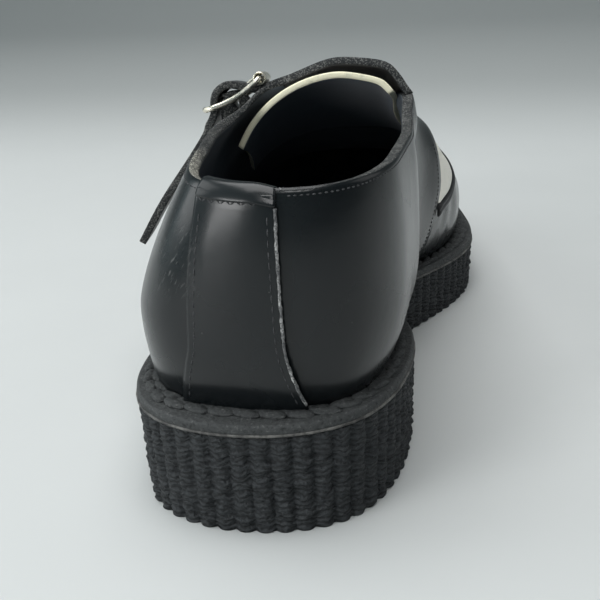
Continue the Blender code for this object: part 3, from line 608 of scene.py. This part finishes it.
def welded_copy(node, name, pair_angle=PAIR_ANGLE):
    """Copy of a solid with its points welded and its triangles paired into quads."""
    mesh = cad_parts[node].data.copy()
    mesh.name = name
    mesh.materials.clear()
    piece = bpy.data.objects.new(name, mesh)
    bpy.context.scene.collection.objects.link(piece)
    pick(piece)
    bpy.ops.object.mode_set(mode="EDIT")
    bpy.ops.mesh.select_all(action="SELECT")
    bpy.ops.mesh.customdata_custom_splitnormals_clear()
    bpy.ops.mesh.remove_doubles(threshold=WELD * MM)
    bpy.ops.mesh.tris_convert_to_quads(face_threshold=math.radians(pair_angle), shape_threshold=math.pi)
    bpy.ops.object.mode_set(mode="OBJECT")
    return piece


def crease_sharp(piece, angle=EDGE_ANGLE, crease=EDGE_CREASE):
    """Keep the edges that turn by more than an angle crisp when the piece is smoothed."""
    pick(piece)
    bpy.ops.object.mode_set(mode="EDIT")
    bpy.ops.mesh.select_mode(type="EDGE")
    bpy.ops.mesh.select_all(action="DESELECT")
    bpy.ops.mesh.edges_select_sharp(sharpness=math.radians(angle))
    bpy.ops.transform.edge_crease(value=crease)
    bpy.ops.object.mode_set(mode="OBJECT")


def smooth(piece):
    """Round a piece off with a subdivision surface and shade it smooth."""
    pick(piece)
    rounder = piece.modifiers.new("round", "SUBSURF")
    rounder.levels = ROUND_LEVELS
    rounder.render_levels = ROUND_LEVELS
    bpy.ops.object.modifier_apply(modifier=rounder.name)
    bpy.ops.object.shade_smooth()


def cut_faces(piece):
    """Faces along a cut edge: those with sharp edges on two opposite sides."""
    shape = bmesh.new()
    shape.from_mesh(piece.data)
    least = math.radians(EDGE_ANGLE)
    sharp = {e.index for e in shape.edges if e.is_manifold and e.calc_face_angle() > least}
    found = []
    for face in shape.faces:
        crisp = [set(e.verts) for e in face.edges if e.index in sharp]
        if any(not first & second for first in crisp for second in crisp):
            found.append(face.index)
    shape.free()
    return found


def inside_point(place):
    """Point of the shoe's inside line nearest along the length to a place in the frame."""
    (back, back_height), (front, front_height) = INSIDE_LINE
    share = min(max((own(place)[1] - back) / (front - back), 0.0), 1.0)
    height = back_height + (front_height - back_height) * share
    return at(HEEL_CENTRE[0], back + (front - back) * share, height)


def lined_faces(piece):
    """Faces that look towards the inside of the shoe."""
    return [f.index for f in piece.data.polygons if f.normal.dot(inside_point(f.center) - f.center) > 0]


def dress(piece, *finishes):
    """Give a piece its finishes, the first one all over."""
    for finish in finishes:
        piece.data.materials.append(finish)


def paint_faces(piece, faces, index):
    """Give some faces another of the piece's finishes."""
    for k in faces:
        piece.data.polygons[k].material_index = index


def settle(piece, slot, *nodes):
    """Fix a finished piece to the shoe, in place of solids where it stands for some."""
    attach(piece, "root")
    if nodes:
        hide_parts(*nodes)
    return piece


def move_points(piece, change):
    """Move each point of a piece by what a function of its place and normal gives, in metres."""
    moved = [v.co + change(v.co, v.normal) for v in piece.data.vertices]
    piece.data.vertices.foreach_set("co", np.array(moved, np.float32).ravel())
    piece.data.update()


def crease_lift(place, creases):
    """How far creases lift the leather at a place in the frame, in metres."""
    lift = 0.0
    for crease in creases:
        first = at(*crease.start)
        along = at(*crease.end) - first
        share = min(max((place - first).dot(along) / along.length_squared, 0.0), 1.0)
        away = (place - first - along * share).length / MM
        lift += crease.height * math.exp(-(away / crease.width) ** 2)
    return lift * MM


def skin_of(piece):
    """Search tree of a piece's surface."""
    points = [v.co.copy() for v in piece.data.vertices]
    faces = [list(f.vertices) for f in piece.data.polygons]
    return BVHTree.FromPolygons(points, faces)


# One small form is modelled once and repeated along a row as one joined mesh


def bead_pattern(name, half_sizes, segments, rings):
    """Points and faces of one rounded bead, longest along x and standing up along z."""
    bpy.ops.object.select_all(action="DESELECT")
    turn = (0, math.pi / 2, 0)
    bpy.ops.mesh.primitive_uv_sphere_add(segments=segments, ring_count=rings, radius=1.0, rotation=turn)
    bead = bpy.context.object
    bead.name = name
    bpy.ops.object.transform_apply(rotation=True)
    points = np.array([v.co for v in bead.data.vertices]) * np.array(half_sizes)
    faces = [tuple(f.vertices) for f in bead.data.polygons]
    bpy.data.objects.remove(bead)
    return points, faces


def row_mesh(name, pattern, stands):
    """One joined mesh of a pattern repeated at each stand: place, way along, way up and scale."""
    points, faces = pattern
    all_points = []
    all_faces = []
    for place, along, up, scale in stands:
        side = up.cross(along).normalized()
        axes = np.array((along, side, side.cross(along) * -1.0))
        first = len(all_points)
        all_points += [tuple(p) for p in np.array(place) + (points * np.array(scale)) @ axes]
        all_faces += [tuple(first + k for k in face) for face in faces]
    mesh = bpy.data.meshes.new(name)
    mesh.from_pydata(all_points, [], all_faces)
    piece = bpy.data.objects.new(name, mesh)
    bpy.context.scene.collection.objects.link(piece)
    pick(piece)
    bpy.ops.object.shade_smooth()
    return piece


def spaced(path, pitch, start=0.5):
    """Places along a path of (place, normal) pairs, a pitch apart: place, direction along, normal."""
    places = np.array([p for p, _ in path])
    normals = np.array([n for _, n in path])
    lengths = np.concatenate(([0.0], np.cumsum(np.linalg.norm(np.diff(places, axis=0), axis=1))))
    look_ahead = 0.2 * pitch
    stands = []
    for mark in np.arange(start * pitch, lengths[-1], pitch):
        place, ahead = [Vector([np.interp(m, lengths, places[:, k]) for k in range(3)])
                        for m in (mark, mark + look_ahead)]
        normal = Vector([np.interp(mark, lengths, normals[:, k]) for k in range(3)]).normalized()
        along = ahead - place
        along = (along - normal * along.dot(normal)).normalized()
        stands.append((place, along, normal))
    return stands


def stitch_row(name, path, stitch, thread, lean=0.0):
    """Row of stitches along a path on the leather, leaning to each side in turn where they zigzag."""
    length, pitch = (size * MM for size in stitch)
    radius = STITCH_RADIUS * MM
    pattern = bead_pattern("stitch", (length / 2, radius, radius), segments=6, rings=6)
    stands = []
    for k, (place, along, normal) in enumerate(spaced(path, pitch)[:-1]):
        turn = math.radians(lean if k % 2 else -lean)
        stands.append((place, Quaternion(normal, turn) @ along, normal, (1.0, 1.0, 1.0)))
    row = row_mesh(name, pattern, stands)
    dress(row, thread)
    return settle(row, "black_leather")


def cord_piece(name, points, radius, closed=False):
    """Round cord along points of the frame, made as a curve with a bevel and turned into a mesh."""
    curve = bpy.data.curves.new(name, "CURVE")
    curve.dimensions = "3D"
    curve.bevel_depth = radius * MM
    curve.bevel_resolution = 2
    curve.use_fill_caps = True
    spline = curve.splines.new("POLY")
    spline.points.add(len(points) - 1)
    for point, place in zip(spline.points, points):
        point.co = (*place, 1.0)
    spline.use_cyclic_u = closed
    cord = bpy.data.objects.new(name, curve)
    bpy.context.scene.collection.objects.link(cord)
    pick(cord)
    bpy.ops.object.convert(target="MESH")
    bpy.ops.object.mode_set(mode="EDIT")
    bpy.ops.mesh.select_all(action="SELECT")
    bpy.ops.mesh.remove_doubles(threshold=WELD * MM)
    bpy.ops.object.mode_set(mode="OBJECT")
    bpy.ops.object.shade_smooth()
    return bpy.context.object


# Pieces


def upright(edge):
    """Whether an edge runs up the side of the sole, along a rib."""
    tall = abs(edge.verts[0].co.z - edge.verts[1].co.z)
    return tall > RIB_UPRIGHT * edge.calc_length() and edge.calc_length() > RIB_LEAST * MM


def make_sole(rubber):
    """Thick wedge sole: rounded upright ribs broken into crepe lumps."""
    sole = welded_copy("outsole", "ribbed_sole", pair_angle=20.0)
    crease_sharp(sole, angle=60.0, crease=0.9)
    pick(sole)
    bpy.ops.object.mode_set(mode="EDIT")
    bpy.ops.mesh.select_mode(type="EDGE")
    bpy.ops.mesh.select_all(action="DESELECT")
    shape = bmesh.from_edit_mesh(sole.data)
    for edge in filter(upright, shape.edges):
        if edge.is_manifold and edge.calc_face_angle_signed() < 0:
            edge.select = True
    bmesh.update_edit_mesh(sole.data)
    bpy.ops.transform.edge_crease(value=GROOVE_CREASE)
    shape = bmesh.from_edit_mesh(sole.data)
    for edge in shape.edges:
        edge.select = upright(edge)
    bmesh.update_edit_mesh(sole.data)
    bpy.ops.mesh.subdivide(number_cuts=RIB_CUTS)
    bpy.ops.object.mode_set(mode="OBJECT")
    smooth(sole)

    def lump(place, normal):
        side = max(0.0, 1.0 - 2.0 * abs(normal.z))
        if side == 0.0:
            return Vector((0.0, 0.0, 0.0))
        _, length, height = own(place)
        start, run, least = NUB_FADE
        fade = min(max((sole_top(length) - height - start) / run, least), 1.0)
        coarse = lumps(place, *NUB_COARSE, shift=NUB_SWAY * lumps(place, *NUB_WANDER))
        fine = lumps(place, *NUB_FINE, shift=FINE_SHIFT)
        out = Vector((normal.x, normal.y, 0.0))
        depth = NUB_SHARES[0] * coarse + NUB_SHARES[1] * fine - NUB_SINK
        return out * (NUB_DEPTH * MM * side * fade * depth)

    move_points(sole, lump)
    dress(sole, rubber)
    return settle(sole, "sole_rubber", "outsole")


def rung(edge):
    """Whether an edge crosses the welt's flat top from rim to rim."""
    flat = [f for f in edge.link_faces if f.normal.z > WELT_FLAT]
    return len(flat) == 2 and edge.calc_length() > WELT_RUNG * MM


def on_rim(point):
    """Whether a point lies on the sloping outer rim of the welt's top."""
    return any(WELT_RIM[0] < f.normal.z < WELT_RIM[1] for f in point.link_faces)


def welt_rails(welt):
    """The welt's outer and inner top edges as two matching loops of points, in order around the shoe."""
    shape = bmesh.new()
    shape.from_mesh(welt.data)
    shape.normal_update()
    pairs = []
    for edge in filter(rung, shape.edges):
        inner, outer = sorted(edge.verts, key=on_rim)
        pairs.append((outer.co.copy(), inner.co.copy()))
    shape.free()
    pairs.sort(key=lambda pair: math.atan2(pair[0].x, pair[0].y))
    return np.array([p[0] for p in pairs]), np.array([p[1] for p in pairs])


def make_welt(finish):
    """Welt around the upper: a smooth lip and a rough field inside it. Gives the rails of its top."""
    welt = welded_copy("welt", "welt_strip", pair_angle=25.0)
    outer, inner = welt_rails(welt)
    edge_points = KDTree(len(outer))
    for k, point in enumerate(outer):
        edge_points.insert(point, k)
    edge_points.balance()
    crease_sharp(welt, angle=40.0, crease=0.8)
    pick(welt)
    bpy.ops.object.mode_set(mode="EDIT")
    bpy.ops.mesh.select_mode(type="EDGE")
    shape = bmesh.from_edit_mesh(welt.data)
    for edge in shape.edges:
        edge.select = rung(edge)
    bmesh.update_edit_mesh(welt.data)
    bpy.ops.mesh.subdivide(number_cuts=WELT_CUTS)
    bpy.ops.object.mode_set(mode="OBJECT")
    smooth(welt)

    def roughen(place, normal):
        away = edge_points.find(place)[2] / MM
        share = min(max((away - WELT_LIP) / WELT_FADE, 0.0), 1.0) * max(normal.z, 0.0)
        pebble = lumps(place, *WELT_PEBBLE)
        return Vector((0.0, 0.0, WELT_ROUGH * MM * share * (pebble - WELT_SINK)))

    move_points(welt, roughen)
    dress(welt, finish)
    settle(welt, "welt_leather", "welt")
    return outer, inner


def make_plait(outer, inner, finish):
    """Two staggered rows of lozenges, like a flat plait, between the upper and the welt's lip."""
    out = outer - inner
    widths = np.linalg.norm(out, axis=1)
    out /= widths[:, None]
    shown = np.minimum(widths - WELT_TUCKED * MM, PLAIT_WIDEST * MM)
    feather = inner + out * (WELT_TUCKED * MM)
    stands = []
    for share, shift, turn in PLAIT_ROWS:
        rail = feather + out * (shown * share)[:, None]
        rail = np.concatenate((rail, rail[:1]))
        room = np.concatenate((shown, shown[:1]))
        path = [(Vector(p), Vector((0.0, 0.0, 1.0))) for p in rail]
        lengths = np.linalg.norm(np.diff(rail, axis=0), axis=1)
        marks = np.concatenate(([0.0], np.cumsum(lengths)))
        pitch = marks[-1] / round(marks[-1] / (PLAIT_PITCH * MM))
        for k, (place, along, up) in enumerate(spaced(path, pitch, shift)):
            width = float(np.interp((shift + k) * pitch, marks, room)) / MM
            leaning = Quaternion(up, math.radians(turn)) @ along
            seat = place + up * (LOZENGE_SEAT * MM)
            stands.append((seat, leaning, up, (1.0, width / PLAIT_WIDEST, 1.0)))
    pattern = bead_pattern("lozenge", [size * MM for size in LOZENGE], segments=12, rings=10)
    plait = row_mesh("welt_plait", pattern, stands)

    def chip(place, normal):
        broad = lumps(place, *CHIP_BROAD)
        fine = lumps(place, *CHIP_FINE, shift=CHIP_SHIFT)
        return normal * (CHIP_DEPTH * MM * (broad + CHIP_SHARE * fine))

    move_points(plait, chip)
    dress(plait, finish)
    return settle(plait, "welt_leather")


def make_lip_highlight(outer, inner, finish):
    """Fine pale bead along the lower edge of the welt's lip, a painted highlight line."""
    out = outer - inner
    out /= np.linalg.norm(out, axis=1)[:, None]
    out[:, 2] = 0.0
    drop = np.array((0.0, 0.0, BEAD_DROP * MM))
    # painted highlight: pale cord along the foot of the welt's lip
    line = cord_piece("lip_highlight_cord", outer + out * (BEAD_OUT * MM) - drop, BEAD_RADIUS, closed=True)
    dress(line, finish)
    return settle(line, "welt_leather")


def make_upper(leather, lit_lining, edge):
    """The hollow upper, smoothed, lined and with raw cut edges."""
    upper = welded_copy("upper", "leather_upper")
    dress(upper, leather, lit_lining, edge)
    paint_faces(upper, lined_faces(upper), 1)
    paint_faces(upper, cut_faces(upper), 2)
    crease_sharp(upper)
    smooth(upper)

    def fold(place, normal):
        creases = SIDE_CREASES
        if own(place)[1] < QUARTER_FRONT:
            creases = SIDE_CREASES + QUARTER_LIP
        out = place - inside_point(place)
        out.z = 0.0
        level = out.normalized() * crease_lift(place, creases)
        return level + Vector((0.0, 0.0, crease_lift(place, TOP_CREASES)))

    move_points(upper, fold)
    return settle(upper, "black_leather", "upper")


def seat_strap(strap):
    """Bend the strap's medial end out over the quarter and run its first row down into the collar."""
    side = at(STRAP_SIDE, 0.0, 0.0).x
    start = [f for f in strap.data.polygons
             if f.normal.x > STRAP_LEAN and f.normal.z < -STRAP_LEAN and f.center.x > side]
    down = sum((f.normal for f in start), Vector()).normalized()
    first = {k for f in start for k in f.vertices}
    for point in strap.data.vertices:
        if point.co.x > side:
            point.co.x += STRAP_OUT * MM * (1.0 - rise(point.co.z / MM, *STRAP_HEIGHTS))
        if point.index in first:
            point.co += down * (STRAP_SEAT * MM)


def round_tongue(tongue):
    """Round the tongue's inner shoulder: lower at the bend, further out below it."""
    middle, half_width = TONGUE_BEND
    for point in tongue.data.vertices:
        x, y, z = own(point.co)
        back = 1.0 - rise(y, *TONGUE_BACK)
        bend = math.exp(-((x - middle) / half_width) ** 2)
        point.co.x += TONGUE_OUT * MM * back * rise(x, *TONGUE_SIDE) * (1.0 - rise(z, *TONGUE_TOP))
        point.co.z -= TONGUE_DROP * MM * back * bend * rise(z, *TONGUE_CROWN)


def fold_binding(binding):
    """Fold the binding over the collar: outer edge down on the heel strip, inner end thinned."""
    centre = at(*HEEL_CENTRE, 0.0)
    for point in binding.data.vertices:
        away = point.co - centre
        low = 1.0 - rise(point.co.z / MM, *BINDING_HEIGHTS)
        outer = rise(away.xy.length / MM, *BINDING_RIM)
        thin = rise(heel_turn(point.co), BINDING_ENDS[1] - BINDING_RUN, BINDING_ENDS[1])
        fold = low * (BINDING_INNER + (1.0 - BINDING_INNER) * outer)
        out = Vector((away.x, away.y, 0.0)).normalized()
        point.co += out * (BINDING_OUT * MM * low * outer)
        point.co.z -= (BINDING_SINK + BINDING_FOLD * fold + BINDING_THIN * thin) * MM


def open_roller(roller):
    """Widen the roller about its axis, so that its end reads as a ring round the bar."""
    places = [v.co.copy() for v in roller.data.vertices]
    middle = sum(places, Vector()) / len(places)
    ends = [[p for p in places if p.y < middle.y], [p for p in places if p.y >= middle.y]]
    near_end, far_end = (sum(end, Vector()) / len(end) for end in ends)
    axis = (far_end - near_end).normalized()
    for point in roller.data.vertices:
        away = point.co - middle
        along = axis * away.dot(axis)
        point.co = middle + along + (away - along) * ROLLER_SWELL


def reach_prong(prong):
    """Bend the prong's lower end down into the strap, and let its tip lie against the roller."""
    lower = at(PRONG_PART, 0.0, 0.0).x
    for point in prong.data.vertices:
        point.co += Vector(PRONG_BEND if point.co.x < lower else PRONG_SINK) * MM


def fill_loop(tab):
    """Swell the tab's outer leaf towards the strap that lies over it."""
    for point in tab.data.vertices:
        x, _, z = own(point.co)
        if point.normal.x < TAB_LEAN and x < TAB_SIDE and z > TAB_FOOT:
            point.co.x -= TAB_SWELL * MM


def make_panel(node, name, slot, finishes, reshape=None):
    """A leather panel from its solid: finishes of its face, its cut edges and its inner face."""
    panel = welded_copy(node, name)
    if reshape:
        reshape(panel)
    dress(panel, *finishes)
    if len(finishes) > 2:
        paint_faces(panel, lined_faces(panel), 2)
    if len(finishes) > 1:
        paint_faces(panel, cut_faces(panel), 1)
    crease_sharp(panel)
    smooth(panel)
    return settle(panel, slot, node)


def make_metal(node, name, metal, reshape=None):
    """A metal piece of the buckle, rounded off from its solid."""
    piece = welded_copy(node, name, pair_angle=30.0)
    if reshape:
        reshape(piece)
    crease_sharp(piece, angle=65.0, crease=0.85)
    smooth(piece)
    dress(piece, metal)
    return settle(piece, "buckle_metal", node)


# Seams


def side_ray(skin, side, y, height):
    """Place and normal on the inner (1) or outer (-1) side of the shoe at a length and a height."""
    place, normal, _, _ = skin.ray_cast(at(RAY_START * side, y, height), Vector((-side, 0.0, 0.0)))
    return place, normal


def heel_ray(skin, turn, height):
    """Place and normal on the heel at a turn about its centre (0 outer side, 90 back) and a height."""
    angle = math.radians(turn)
    toward = Vector((-math.cos(angle), -math.sin(angle), 0.0))
    start = at(*HEEL_CENTRE, height) + toward * (RAY_START * MM)
    place, normal, _, _ = skin.ray_cast(start, -toward)
    return place, normal


def strip_edges(skin, inset):
    """Places and normals an inset inside the outer and the inner long edge of the heel strip."""
    rows = []
    for sign in (-1.0, 1.0):
        row = []
        for height in STRIP_HEIGHTS:
            turn = STRIP_MIDDLE
            while heel_ray(skin, turn + sign * STRIP_STEP, height)[0] is not None:
                turn += sign * STRIP_STEP
            reach = (heel_ray(skin, turn, height)[0] - at(*HEEL_CENTRE, height)).length
            row.append(heel_ray(skin, turn - sign * math.degrees(inset * MM / reach), height))
        rows.append(row)
    return rows


def sound(path):
    """The pairs of a path that met the leather."""
    return [pair for pair in path if pair[0] is not None]


def make_seam_edge(strip, finish):
    """Bare rough edge of the leather along the medial side of the heel strip."""
    path = strip_edges(skin_of(strip), SEAM_INSET)[1]
    edge = cord_piece("bare_seam_edge", [place for place, normal in path], SEAM_EDGE)
    pick(edge)
    bpy.ops.object.mode_set(mode="EDIT")
    bpy.ops.mesh.select_all(action="SELECT")
    bpy.ops.mesh.subdivide(number_cuts=SEAM_CUTS)
    bpy.ops.object.mode_set(mode="OBJECT")

    def roughen(place, normal):
        return normal * (SEAM_ROUGH * SEAM_EDGE * MM * lumps(place, *SEAM_LUMPS))

    move_points(edge, roughen)
    dress(edge, finish)
    return settle(edge, "black_leather")


def make_fray(upper, finish):
    """A few loose thread ends where the binding meets the folded collar edge."""
    leather = skin_of(upper)
    up = Vector((0.0, 0.0, 1.0))
    hairs = []
    for turn, length, lean in FRAY:
        base, normal = heel_ray(leather, turn, FRAY_HEIGHT)
        along = up.cross(normal).normalized()
        way = along * math.cos(math.radians(lean)) + up * math.sin(math.radians(lean))
        middle = base + (way * 0.5 * length + normal * FRAY_LIFT[0]) * MM
        tip = base + (way * length + normal * FRAY_LIFT[1]) * MM
        hairs.append(cord_piece("loose_threads", [base, middle, tip], FRAY_RADIUS))
    pick(hairs[0])
    for hair in hairs[1:]:
        hair.select_set(True)
    bpy.ops.object.join()
    dress(hairs[0], finish)
    return settle(hairs[0], "black_leather")


def make_seams(strip, upper, thread):
    """Stitch rows inside the heel strip's edges, under the binding, along the collar and at the front."""
    skin = skin_of(strip)
    for name, row in zip(("outer_heel_stitches", "inner_heel_stitches"), strip_edges(skin, STRIP_INSET)):
        stitch_row(name, row, HEEL_STITCH, thread)
    first, last = BINDING_ENDS
    span = np.linspace(first + BINDING_CLEAR, last - BINDING_CLEAR, 12)
    top = [heel_ray(skin, turn, ZIGZAG_HEIGHT) for turn in span]
    stitch_row("zigzag_stitches", sound(top), ZIGZAG_STITCH, thread, ZIGZAG_LEAN)
    leather = skin_of(upper)
    for word, side, turns in COLLAR_SIDES:
        path = []
        for turn in turns:
            y = HEEL_CENTRE[1] - HEEL_REACH * math.sin(math.radians(turn))
            path.append(heel_ray(leather, turn, collar_height(y) - COLLAR_ROW))
        for y in COLLAR_STEPS:
            path.append(side_ray(leather, side, y, collar_height(y) - COLLAR_ROW))
        stitch_row(word + "_collar_stitches", sound(path), FINE_STITCH, thread)
        front = [side_ray(leather, side, QUARTER_FRONT - FRONT_INSET, z) for z in FRONT_HEIGHTS]
        stitch_row(word + "_front_stitches", sound(front), FINE_STITCH, thread)


# Stage


def make_camera():
    """Camera at the photograph's angle to the shoe, framing the one shoe."""
    data = bpy.data.cameras.new("camera")
    data.lens = CAMERA_LENS
    data.clip_start = 0.01
    camera = bpy.data.objects.new("camera", data)
    bpy.context.scene.collection.objects.link(camera)
    place = at(*CAMERA_PLACE)
    look = (at(*CAMERA_AIM) - place).normalized()
    roll = Quaternion(look, math.radians(CAMERA_ROLL))
    camera.location = place
    camera.rotation_mode = "QUATERNION"
    camera.rotation_quaternion = roll @ look.to_track_quat("-Z", "Y")
    bpy.context.scene.camera = camera


def make_stage():
    """Pale paper sweep: a floor that turns up into a back wall, darkened with painted shade further along
    the shoe.
    """
    bpy.ops.object.select_all(action="DESELECT")
    bpy.ops.mesh.primitive_plane_add(size=SWEEP_SIDE, location=(0.0, SWEEP_SHIFT, 0.0))
    sweep = bpy.context.object
    sweep.name = "paper_sweep"
    back = SWEEP_SIDE / 2 + SWEEP_SHIFT - MM
    bpy.ops.object.transform_apply(location=True)
    bpy.ops.object.mode_set(mode="EDIT")
    bpy.ops.mesh.select_mode(type="EDGE")
    bpy.ops.mesh.select_all(action="DESELECT")
    shape = bmesh.from_edit_mesh(sweep.data)
    for edge in shape.edges:
        edge.select = all(v.co.y > back for v in edge.verts)
    bmesh.update_edit_mesh(sweep.data)
    bpy.ops.mesh.extrude_region_move(TRANSFORM_OT_translate={"value": (0.0, 0.0, SWEEP_HEIGHT)})
    bpy.ops.mesh.select_all(action="DESELECT")
    shape = bmesh.from_edit_mesh(sweep.data)
    for edge in shape.edges:
        edge.select = all(v.co.y > back and v.co.z < MM for v in edge.verts)
    bmesh.update_edit_mesh(sweep.data)
    bpy.ops.mesh.bevel(offset=SWEEP_BEND, segments=16)
    bpy.ops.object.mode_set(mode="OBJECT")
    bpy.ops.object.shade_smooth()
    material, shader, place = new_finish("pale_paper", {"Roughness": 0.6, "Specular IOR Level": 0.3})
    away = place.node("ShaderNodeSeparateXYZ", None, {0: place}, 1)
    pale = blend(grain(place, 60.0), FLOOR_PALE, [FLOOR_CLOUD + part for part in FLOOR_PALE])
    # painted shade: the floor's colour darkens to a greyer one further along the shoe
    feed(shader, colour=blend(ease(away, *FLOOR_SHADE_FADE), pale, FLOOR_FAR_SHADE))
    dress(sweep, material)


def soft_light(name, place, target, size, power):
    """Rectangular soft box that faces a target."""
    data = bpy.data.lights.new(name, "AREA")
    data.shape = "RECTANGLE"
    data.size, data.size_y = size
    data.energy = power
    light = bpy.data.objects.new(name, data)
    light.location = place
    light.rotation_euler = (Vector(target) - Vector(place)).to_track_quat("-Z", "Y").to_euler()
    bpy.context.scene.collection.objects.link(light)


def make_light():
    """Large soft box overhead, dimmer ones around, and a room that darkens to the right."""
    for light in LIGHTS:
        soft_light(*light)
    world = bpy.data.worlds.new("grey_room")
    world.use_nodes = True
    tree = world.node_tree
    look = Socket(tree, tree.nodes.new("ShaderNodeTexCoord").outputs["Generated"])
    right = look.node("ShaderNodeSeparateXYZ", None, {0: look})
    room = blend(ease(right, *ROOM_FADE), ROOM_LEFT, ROOM_RIGHT)
    tree.links.new(room.output, tree.nodes["Background"].inputs["Color"])
    bpy.context.scene.world = world
    bpy.context.scene.view_settings.view_transform = "Standard"


def main():
    """Model every piece, then the stage."""
    leather = polished_leather()
    strap_finish = strap_leather()
    edge = raw_edge()
    # painted light: the walls' lining is a paler copy of the sock lining, lightened to stand in for light
    # on the inner walls
    lit_lining = dark_lining("lit_wall_lining", (0.042, 0.053, 0.068), (0.068, 0.083, 0.101))
    sock = dark_lining("sock_lining", (0.030, 0.036, 0.046), (0.050, 0.058, 0.072))
    cream = cream_leather()
    metal = buckle_metal()
    thread = black_thread()
    welt_skin = welt_finish()
    make_sole(sole_rubber())
    outer, inner = make_welt(welt_skin)
    make_plait(outer, inner, welt_skin)
    make_lip_highlight(outer, inner, lip_highlight_finish())
    upper = make_upper(leather, lit_lining, edge)
    make_panel("insole", "insole_sock", "insole_lining", (sock,))
    make_panel("apron", "apron_panel", "white_leather", (cream,))
    make_panel("apron_band", "apron_seam_band", "black_leather", (strap_finish,))
    make_panel("tongue", "tongue_panel", "white_leather", (cream, cream_edge(), lit_lining),
               reshape=round_tongue)
    strip = make_panel("backstay", "heel_strip", "black_leather", (leather,))
    bare = pale_edge()
    make_seam_edge(strip, bare)
    make_fray(upper, bare)
    make_panel("heel_binding", "collar_binding", "black_leather", (leather,), reshape=fold_binding)
    make_panel("strap", "instep_strap", "black_leather", (strap_finish, edge), reshape=seat_strap)
    make_panel("buckle_tab", "buckle_loop", "black_leather", (strap_finish, edge), reshape=fill_loop)
    make_metal("buckle_frame", "bent_frame", metal)
    make_metal("buckle_bar", "middle_bar", metal)
    make_metal("buckle_roller", "end_roller", metal, reshape=open_roller)
    make_metal("buckle_prong", "prong", metal, reshape=reach_prong)
    make_seams(strip, upper, thread)
    make_stage()
    make_light()
    make_camera()


main()
